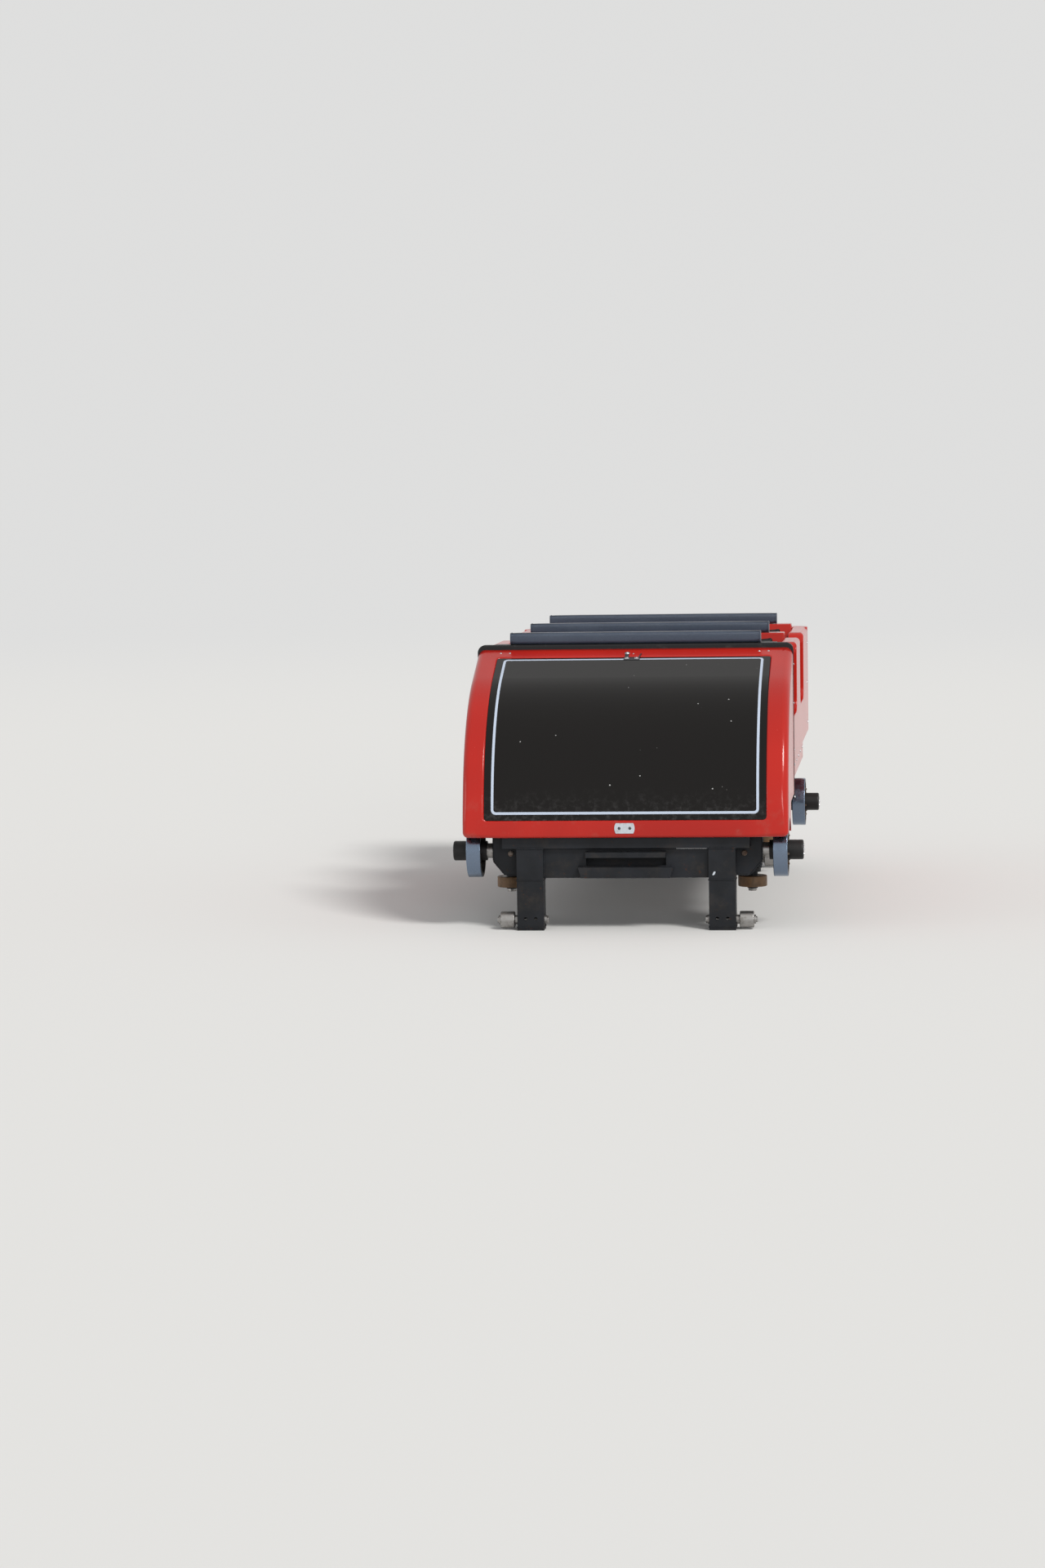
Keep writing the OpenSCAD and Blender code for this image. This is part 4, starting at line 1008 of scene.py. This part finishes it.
def hexPrism(bm, place, across, low, high):
    middle = place @ Matrix.Translation(Vector((0, 0, (low + high) / 2000)))
    r = across / 1732
    made = bmesh.ops.create_cone(bm, cap_ends=True, segments=6, radius1=r, radius2=r,
                                 depth=(high - low) / 1000, matrix=middle)
    bevelSolid(bm, made["verts"], across / 24000)


# Bolt head, or nut with the end of its thread, on a washer
def hexBolt(bm, place, across=19.0, washer=True, thread=0.0):
    low = -0.4
    if washer:
        r = across * 0.64
        lathe(bm, place, [(0, low), (r, low), (r, 1.4), (r - 0.5, 1.9), (0, 1.9)], 24)
        low = 1.6
    high = low + across * (0.78 if thread else 0.62)
    hexPrism(bm, place, across, low, high)
    r = across * 0.29
    if thread:
        pitch, deep = 1.5, 0.7
        outline = [(0, high - 1), (r, high - 1)]
        for k in range(int(thread / pitch)):
            outline += [(r, high + pitch * k), (r - deep, high + pitch * (k + 0.5))]
        end = high + thread
        lathe(bm, place, outline + [(r - 0.4, end), (r - 1.5, end + 1), (0, end + 1)], 16)
    else:
        lathe(bm, place, [(0, high - 0.5), (r, high - 0.5), (r - 0.8, high + 0.5), (0, high + 0.7)], 16)


# Round head with a socket in it
def roundScrew(bm, place, wide=9.0, high=2.4):
    r = wide / 2
    lathe(bm, place, [(0, -0.4), (r, -0.4), (r, high * 0.25), (r * 0.84, high * 0.72), (r * 0.55, high),
                      (r * 0.42, high), (r * 0.36, high * 0.45), (0, high * 0.4)])


def rivet(bm, place, wide=9.0, high=2.4):
    r, foot = wide / 2, 0.2
    arc = [(r * math.cos(a), foot + (high - foot) * math.sin(a)) for a in map(math.radians, (22, 45, 68))]
    lathe(bm, place, [(0, -0.4), (r, -0.4), (r, foot)] + arc + [(0, high)])


# A bead of weld metal with its ripples, from one car place to another
def bead(bm, start, end, r=3.0):
    first, last = at(*start), at(*end)
    run = last - first
    count = max(3, int(run.length / 0.003))
    ahead = run.normalized()
    side = ahead.cross(Vector((0.31, 0.52, 0.79))).normalized()
    up = ahead.cross(side)
    rings = []
    for k in range(count + 1):
        ripple = 1 + 0.16 * math.sin(k * 2.1) + 0.08 * math.sin(k * 0.7 + start[1])
        size = r * ripple / 1000 * (0.55 if k in (0, count) else 1.0)
        middle = first + run * (k / count)
        rings.append([bm.verts.new(middle + (side * math.cos(a) + up * math.sin(a)) * size)
                      for a in (math.pi * n / 3 for n in range(6))])
    stackRings(bm, rings)


noseTrim = {
    "rivets": (482.0, 518.0), "rivetRow": 912.0,
    "seamFace": 612.0, "seamS": 600.7,
    "seamScrews": ((257.0, 9.0), (440.0, 6.4), (620.0, 6.4), (770.0, 6.4)),  # height and width
    "plateHoles": 20.0, "plateFace": -2.0, "plateMiddle": 197.0,
    "plateScrew": [(0, -0.5), (5.6, -0.5), (5.6, 0.05), (5.2, 0.35), (3.0, 0.35), (2.7, -0.3), (0, -0.4)],
    "catch": (-6.0, 859.0), "catchWasher": [(0, -0.5), (10.5, -0.5), (10.5, 1.4), (9.8, 2.0), (0, 2.0)],
    # flat pieces of the catch: x, u, width, length, depth of the underside, thickness, turn
    "darkTabs": ((0, 0, 62, 25, 3.4, 2.2, 0), (-20, 22, 15, 32, 0.4, 1.8, 0),
                 (31, 17, 4.5, 36, 0.2, 4.0, -12)),
    "brightTabs": ((-19, 0, 17, 15, 1.6, 2.6, 0), (19, 0, 17, 15, 1.6, 2.6, 0)), "tabBevel": 0.0007,
    # screws and rivets of the catch: place, then width and height
    "tabRivet": (1, -0.8), "tabRivetSize": (6.5, 2.0),
    "catchScrew": (-20, 43), "catchScrewSize": (13.0, 3.6),
    "leverRivet": (4, 38), "leverRivetSize": (7.0, 2.2),
}


def makeNoseTrim():
    look = noseTrim
    bm = bmesh.new()
    for side in handSide.values():
        for x in look["rivets"]:
            rivet(bm, noseStand(side * x, look["rivetRow"]))
        for h, wide in look["seamScrews"]:
            roundScrew(bm, standAt(side * look["seamFace"], look["seamS"], h, (side, 0, 0)), wide, wide / 3)
    finishSolid("nose_rivets", bm, "car", "zinc")

    bm = bmesh.new()
    for side in handSide.values():
        spot = at(side * look["plateHoles"], look["plateFace"], look["plateMiddle"])
        lathe(bm, stand(spot, (0, -1, 0), 30 * side), look["plateScrew"], 24)
    finishSolid("plate_screws", bm, "car", "screw_dark")

    # the catch over the panel's upper edge: dark plate and lever, bright tabs and screw
    def onCatch(x, u, d=0.0, turn=0.0):
        return noseStand(look["catch"][0] + x, look["catch"][1] + u, d, turn)

    def tab(bm, x, u, wide, long, low, deep, turn):
        place = onCatch(x, u, low - deep / 2, turn)
        size = Matrix.Diagonal(Vector((wide, long, deep, 1000)) / 1000)
        made = bmesh.ops.create_cube(bm, size=1.0, matrix=place @ size)
        bevelSolid(bm, made["verts"], look["tabBevel"])

    bm = bmesh.new()
    for flat in look["darkTabs"]:
        tab(bm, *flat)
    finishSolid("panel_catch_plate", bm, "car", "screw_dark")
    bm = bmesh.new()
    for flat in look["brightTabs"]:
        tab(bm, *flat)
        rivet(bm, onCatch(flat[0], *look["tabRivet"]), *look["tabRivetSize"])
    lathe(bm, onCatch(*look["catchScrew"], 0.2), look["catchWasher"], 28)
    roundScrew(bm, onCatch(*look["catchScrew"], -1.6), *look["catchScrewSize"])
    rivet(bm, onCatch(*look["leverRivet"]), *look["leverRivetSize"])
    finishSolid("panel_catch", bm, "car", "zinc")


makeNoseTrim()

bodyScrews = {
    "skirtHeight": 322.0, "skirtFace": 585.0, "skirtFrom": 660.0, "skirtPitch": 228.0, "skirtCount": 8,
    "rearFace": 2375.0, "rear": (-420.0, -140.0, 140.0, 420.0), "big": (12.0, 3.2),
    "deckX": 520.0, "deckS": (2306, 2360), "deckHeight": 835.0,
    "joint": (2300, 2262), "jointHeights": (430, 600, 770),
    "seatX": (-480, -290, -97, 97, 290, 480), "seatFoot": (920, 305), "backFoot": (1453.2, 318),
}


def makeBodyScrews():
    look = bodyScrews
    bm = bmesh.new()
    for side in handSide.values():
        for k in range(look["skirtCount"]):
            s = look["skirtFrom"] + look["skirtPitch"] * k
            place = standAt(side * look["skirtFace"], s, look["skirtHeight"], (side, 0, 0))
            roundScrew(bm, place, *look["big"])
        for s in look["deckS"]:
            roundScrew(bm, standAt(side * look["deckX"], s, look["deckHeight"], (0, 0, 1)))
        for h in look["jointHeights"]:
            for s in look["joint"]:
                roundScrew(bm, standAt(side * car["sideFace"], s, h, (side, 0, 0)))
    for x in look["rear"]:
        roundScrew(bm, standAt(x, look["rearFace"], look["skirtHeight"], (0, 1, 0)), *look["big"])
    finishSolid("body_screws", bm, "car", "zinc")

    bm = bmesh.new()  # along the feet of the seats and of their backs
    for shift in rowShift.values():
        for x in look["seatX"]:
            for (s, h), out in ((look["seatFoot"], -1), (look["backFoot"], 1)):
                roundScrew(bm, standAt(x, s + shift, h, (0, out, 0)))
    finishSolid("seat_screws", bm, "car", "zinc")


makeBodyScrews()

frameBolts = {
    "endMembers": (-240, -80, 80, 240), "endHeight": 60, "beamHalf": 40.0,
    "clamps": (440, 92), "clampWide": 17.0,
    "memberBolts": ((300, 190), (314, 214)), "memberFace": 30.0, "memberWide": 13.0,
    "hangerFace": 180.0, "hangers": (60, 120),
    "pinStarts": (71.0, 2179.0), "pinEnd": 483.0, "pinHead": 302.0,
    "pinOutline": [(0, -0.5), (11, -0.5), (11, 4.5), (9.8, 5.6), (3.0, 5.8), (2.4, 4.4), (0, 4.2)],
    "guideTop": 26.0, "guideFoot": -63.0, "guideWide": 28.0,
    "drawbarPin": 2284.0, "drawbarNuts": ((117, 1), (21, -1)),  # height, and 1 for up or -1 for down
    # across the flats, lower and upper end
    "pinNut": (26.0, -0.5, 7.0), "guideNut": (30.0, -0.5, 10.0), "drawbarNut": (30.0, -1.0, 9.0),
}


def makeFrameBolts():
    look = frameBolts
    bm = bmesh.new()
    for s, inward in zip(car["axles"], (1, -1)):
        for x in look["endMembers"]:  # draw the end members and the beams together
            faceS = s + inward * look["beamHalf"]
            hexBolt(bm, standAt(x, faceS, look["endHeight"], (0, inward, 0), x))
        clampX, clampH = look["clamps"]
        for side in handSide.values():  # clamp the axle stubs
            for out in (-1, 1):
                faceS = s + out * look["beamHalf"]
                hexBolt(bm, standAt(side * clampX, faceS, clampH, (0, out, 0), 9 * out), look["clampWide"])
    for s in car["crossMembers"]:  # to the chassis rails, and the hangers of the wear plates
        wide = look["memberWide"]
        for side in handSide.values():
            for x, h in look["memberBolts"]:
                hexBolt(bm, standAt(side * x, s - look["memberFace"], h, (0, -1, 0), x), wide)
            for h in look["hangers"]:
                hexBolt(bm, standAt(side * look["hangerFace"], s, h, (side, 0, 0), h), wide, thread=6)
    finishSolid("underframe_bolts", bm, "car", "worn_iron")

    bm = bmesh.new()
    for s in look["pinStarts"]:  # ends of the roller pins
        h = car["rollerHeight"]
        for side in handSide.values():
            lathe(bm, standAt(side * look["pinEnd"], s, h, (side, 0, 0)), look["pinOutline"], 28)
            hexPrism(bm, standAt(side * look["pinHead"], s, h, (-side, 0, 0), 8), *look["pinNut"])
    for s in car["guideWheels"]:  # nuts on the guide wheels' pins
        for side in handSide.values():
            x = side * car["guideMiddle"]
            place = standAt(x, s, look["guideTop"], (0, 0, 1), 17)
            hexBolt(bm, place, look["guideWide"], washer=False, thread=7)
            hexPrism(bm, standAt(x, s, look["guideFoot"], (0, 0, -1), 9), *look["guideNut"])
    for h, up in look["drawbarNuts"]:
        hexPrism(bm, standAt(0, look["drawbarPin"], h, (0, 0, up), 12), *look["drawbarNut"])
    finishSolid("pin_nuts", bm, "car", "bright_steel")


makeFrameBolts()

welds = {  # a run is two places (x, h), with the bead's radius where it isn't 3
    "legHalf": 50.0, "legDeep": 78.0,
    "legHeights": ((118, 3.4), (-1, 2.6), (-178, 2.6)),  # head, splice and foot, each with its radius
    "plateFaces": (52.0, 2218.0), "plateHalf": 309.0, "plateTop": 117.5,
    "plateEdge": (309.5, 10, 116, 3.6),  # x, lower and upper end, radius
    "bareFrom": 185.0, "bareGap": 3.0, "bareRadius": 3.8,
    "lipEnd": ((178, 49), (167, 9), 3.2),
    "pocket": ((105, 150), (49, 178)), "pocketRadius": 3.2,  # height and half width
    "beamEdge": 39.0, "beamSeam": ((-458, 11), (458, 11), 3.2),
    "beamEnds": (((463, 12), (506, 64)), ((506, 66), (506, 164))),
    "earHalf": 46, "earHeights": (31, 49, 85, 103),
    "bracketEdge": 32.0, "bracketTop": ((330, 164), (390, 164)),
    "bracketFoot": (390.5, 31, 14.5, 3.4),  # x, half length, height, radius
    "memberEdge": 30.0, "memberEnds": (((329, 167), (329, 234)), ((391, 232), (391, 268))),
    "hangerTop": (170, 29, 165, 2.6),
}


def makeWelds():
    look = welds
    bm = bmesh.new()

    def across(side, s, start, end, r=3.0):  # a run at one s, on one side of the car
        bead(bm, (side * start[0], s, start[1]), (side * end[0], s, end[1]), r)

    def lengthwise(side, s, x, half, h, r):
        bead(bm, (side * x, s - half, h), (side * x, s + half, h), r)

    for s0 in car["legFronts"]:
        for side in handSide.values():
            x0, x1 = (side * car["legMiddle"] + half for half in (-look["legHalf"], look["legHalf"]))
            corners = ((x0, s0), (x1, s0), (x1, s0 + look["legDeep"]), (x0, s0 + look["legDeep"]))
            for h, r in look["legHeights"]:
                for k, corner in enumerate(corners):
                    bead(bm, (*corner, h), (*corners[(k + 1) % 4], h), r)
    front, rear = look["plateFaces"]
    half, top, bare = look["plateHalf"], look["plateTop"], look["bareFrom"]
    x, low, high, r = look["plateEdge"]
    for side in handSide.values():
        bead(bm, (side * x, front, low), (side * x, front, high), r)
        bead(bm, (side * x, rear - 0.5, low), (side * x, rear, high), r)
        across(side, front, *look["lipEnd"])
    bead(bm, (-half, front, top), (bare, front, top), r)
    for h, reach in look["pocket"]:
        across(1, front, (-reach, h), (reach, h), look["pocketRadius"])
    for s in car["axles"]:
        for edge in (s - look["beamEdge"], s + look["beamEdge"]):
            across(1, edge, *look["beamSeam"])
            for side in handSide.values():
                for run in look["beamEnds"]:
                    across(side, edge, *run)
    for h in look["earHeights"]:  # ears of the drawbar
        across(1, rear + 1, (-look["earHalf"], h), (look["earHalf"], h))
    for s in car["guideWheels"]:
        for side in handSide.values():
            for edge in (s - look["bracketEdge"], s + look["bracketEdge"]):
                across(side, edge, *look["bracketTop"])
            lengthwise(side, s, *look["bracketFoot"])
    for s in car["crossMembers"]:  # cross members, bearers and hangers
        for side in handSide.values():
            for edge in (s - look["memberEdge"], s + look["memberEdge"]):
                for run in look["memberEnds"]:
                    across(side, edge, *run)
            lengthwise(side, s, *look["hangerTop"])
    finishSolid("weld_beads", bm, "car", "frame_black", 80.0)
    bm = bmesh.new()
    bead(bm, (bare + look["bareGap"], front, top), (half - 1, front, top), look["bareRadius"])
    finishSolid("bare_weld", bm, "car", "zinc", 80.0)


makeWelds()

hubs = {
    "face": 589.0, "boltCircle": 54.0, "bolts": 6, "boltWide": 15.0,
    "capFace": 660.0, "capCircle": 23.0, "capScrews": 4, "capScrew": (9.0, -0.4, 2.4),
    "nipple": [(0, -0.5), (13, -0.5), (13, 1.0), (12.2, 1.7), (4.5, 1.8), (4.2, 3.0), (2.6, 3.4),
               (3.0, 4.2), (2.2, 5.0), (0, 5.2)],
}


def makeHubs():
    look = hubs
    for end, s in zip(("front", "rear"), car["axles"]):
        for hand, side in handSide.items():

            def onWheel(x, radius=0.0, degrees=0.0, turn=0.0):
                a = math.radians(degrees)
                spot = at(side * x, s + radius * math.cos(a), car["axleHeight"] + radius * math.sin(a))
                return stand(spot, (side, 0, 0), turn)

            bm = bmesh.new()
            for k in range(look["bolts"]):
                place = onWheel(look["face"], look["boltCircle"], 60 * k + 12, 31 * k)
                hexBolt(bm, place, look["boltWide"], thread=5)
            finishSolid(f"wheel_bolts_{end}_{hand}", bm, f"running_{end}_{hand}", "worn_iron")
            bm = bmesh.new()
            for k in range(look["capScrews"]):
                place = onWheel(look["capFace"], look["capCircle"], 90 * k + 40, 17 * k)
                hexPrism(bm, place, *look["capScrew"])
            lathe(bm, onWheel(look["capFace"]), look["nipple"], 18)
            finishSolid(f"hub_cap_{end}_{hand}", bm, f"running_{end}_{hand}", "zinc")


makeHubs()
print("bolts and welds made")

studio = {
    "floor": shade(0.80, 0.80, 0.79), "backdrop": shade(0.735, 0.735, 0.73), "fade": (9.0, 26.0),
    "world": 0.50,
    "lamps": {  # where it comes from, power, width in degrees, colour
        "key_light": ((0.49, -0.55, 0.68), 2.0, 16.0, (1.0, 0.98, 0.95)),
        "front_fill": ((3.4, -10.7, 2.7), 0.37, 14.0, (0.96, 0.98, 1.0)),
        "side_fill": ((-5.5, -1.8, 0.9), 0.21, 20.0, (1.0, 1.0, 1.0)),
    },
    "camera": (1.139, -15.207, 1.766), "turn": (85.04, 0.87, 6.17), "lens": 86.25, "sensor": 36.0,
}


# A matt floor that fades far away into the same tone as the backdrop
def makeFloor():
    bm = bmesh.new()
    bmesh.ops.create_grid(bm, x_segments=1, y_segments=1, size=300.0)
    floor = link("studio_floor", meshOf("studio_floor", bm))
    f = Finish("studio_floor_paint", Base_Color=studio["floor"], Roughness=1.0, Specular_IOR_Level=0.0)
    floor.data.materials.append(f.material)
    x, y, z = f.axes()
    glow = f.tree.nodes.new("ShaderNodeEmission")
    glow.inputs["Color"].default_value = studio["backdrop"]
    blend = f.tree.nodes.new("ShaderNodeMixShader")
    f.feed(blend.inputs[0], distance(x, y).rise(*studio["fade"]))
    f.tree.links.new(f.shader.outputs[0], blend.inputs[1])
    f.tree.links.new(glow.outputs[0], blend.inputs[2])
    f.tree.links.new(blend.outputs[0], f.tree.nodes["Material Output"].inputs["Surface"])


# The car is lit by one strength of white and sees the backdrop's tone
def makeWorld():
    world = bpy.data.worlds.new("studio_world")
    bpy.context.scene.world = world
    world.use_nodes = True
    tree = world.node_tree
    tree.nodes.clear()

    def join(first, second):
        most = tree.nodes.new("ShaderNodeMath")
        most.operation = "MAXIMUM"
        tree.links.new(first, most.inputs[0])
        tree.links.new(second, most.inputs[1])
        return most.outputs[0]

    path = tree.nodes.new("ShaderNodeLightPath").outputs
    light = tree.nodes.new("ShaderNodeBackground")
    light.inputs["Color"].default_value = shade(1.0, 1.0, 1.0)
    light.inputs["Strength"].default_value = studio["world"]
    pale = tree.nodes.new("ShaderNodeBackground")
    pale.inputs["Color"].default_value = studio["backdrop"]
    blend = tree.nodes.new("ShaderNodeMixShader")
    seen = join(join(path["Is Camera Ray"], path["Is Glossy Ray"]), path["Is Transmission Ray"])
    tree.links.new(seen, blend.inputs[0])
    tree.links.new(light.outputs[0], blend.inputs[1])
    tree.links.new(pale.outputs[0], blend.inputs[2])
    output = tree.nodes.new("ShaderNodeOutputWorld")
    tree.links.new(blend.outputs[0], output.inputs["Surface"])


def addLamp(name, comingFrom, power, wide, colour):
    data = bpy.data.lights.new(name, "SUN")
    data.energy = power
    data.color = colour
    data.angle = math.radians(wide)
    link(name, data).rotation_euler = Vector(comingFrom).to_track_quat("Z", "Y").to_euler()


def addCamera():
    data = bpy.data.cameras.new("photo_camera")
    data.lens = studio["lens"]
    data.sensor_width = studio["sensor"]
    data.clip_end = 1000.0
    camera = link("photo_camera", data)
    camera.location = studio["camera"]
    camera.rotation_euler = [math.radians(a) for a in studio["turn"]]
    bpy.context.scene.camera = camera


makeFloor()
makeWorld()
for name, lamp in studio["lamps"].items():
    addLamp(name, *lamp)
addCamera()
bpy.context.scene.view_settings.view_transform = "Standard"
print("studio ready")
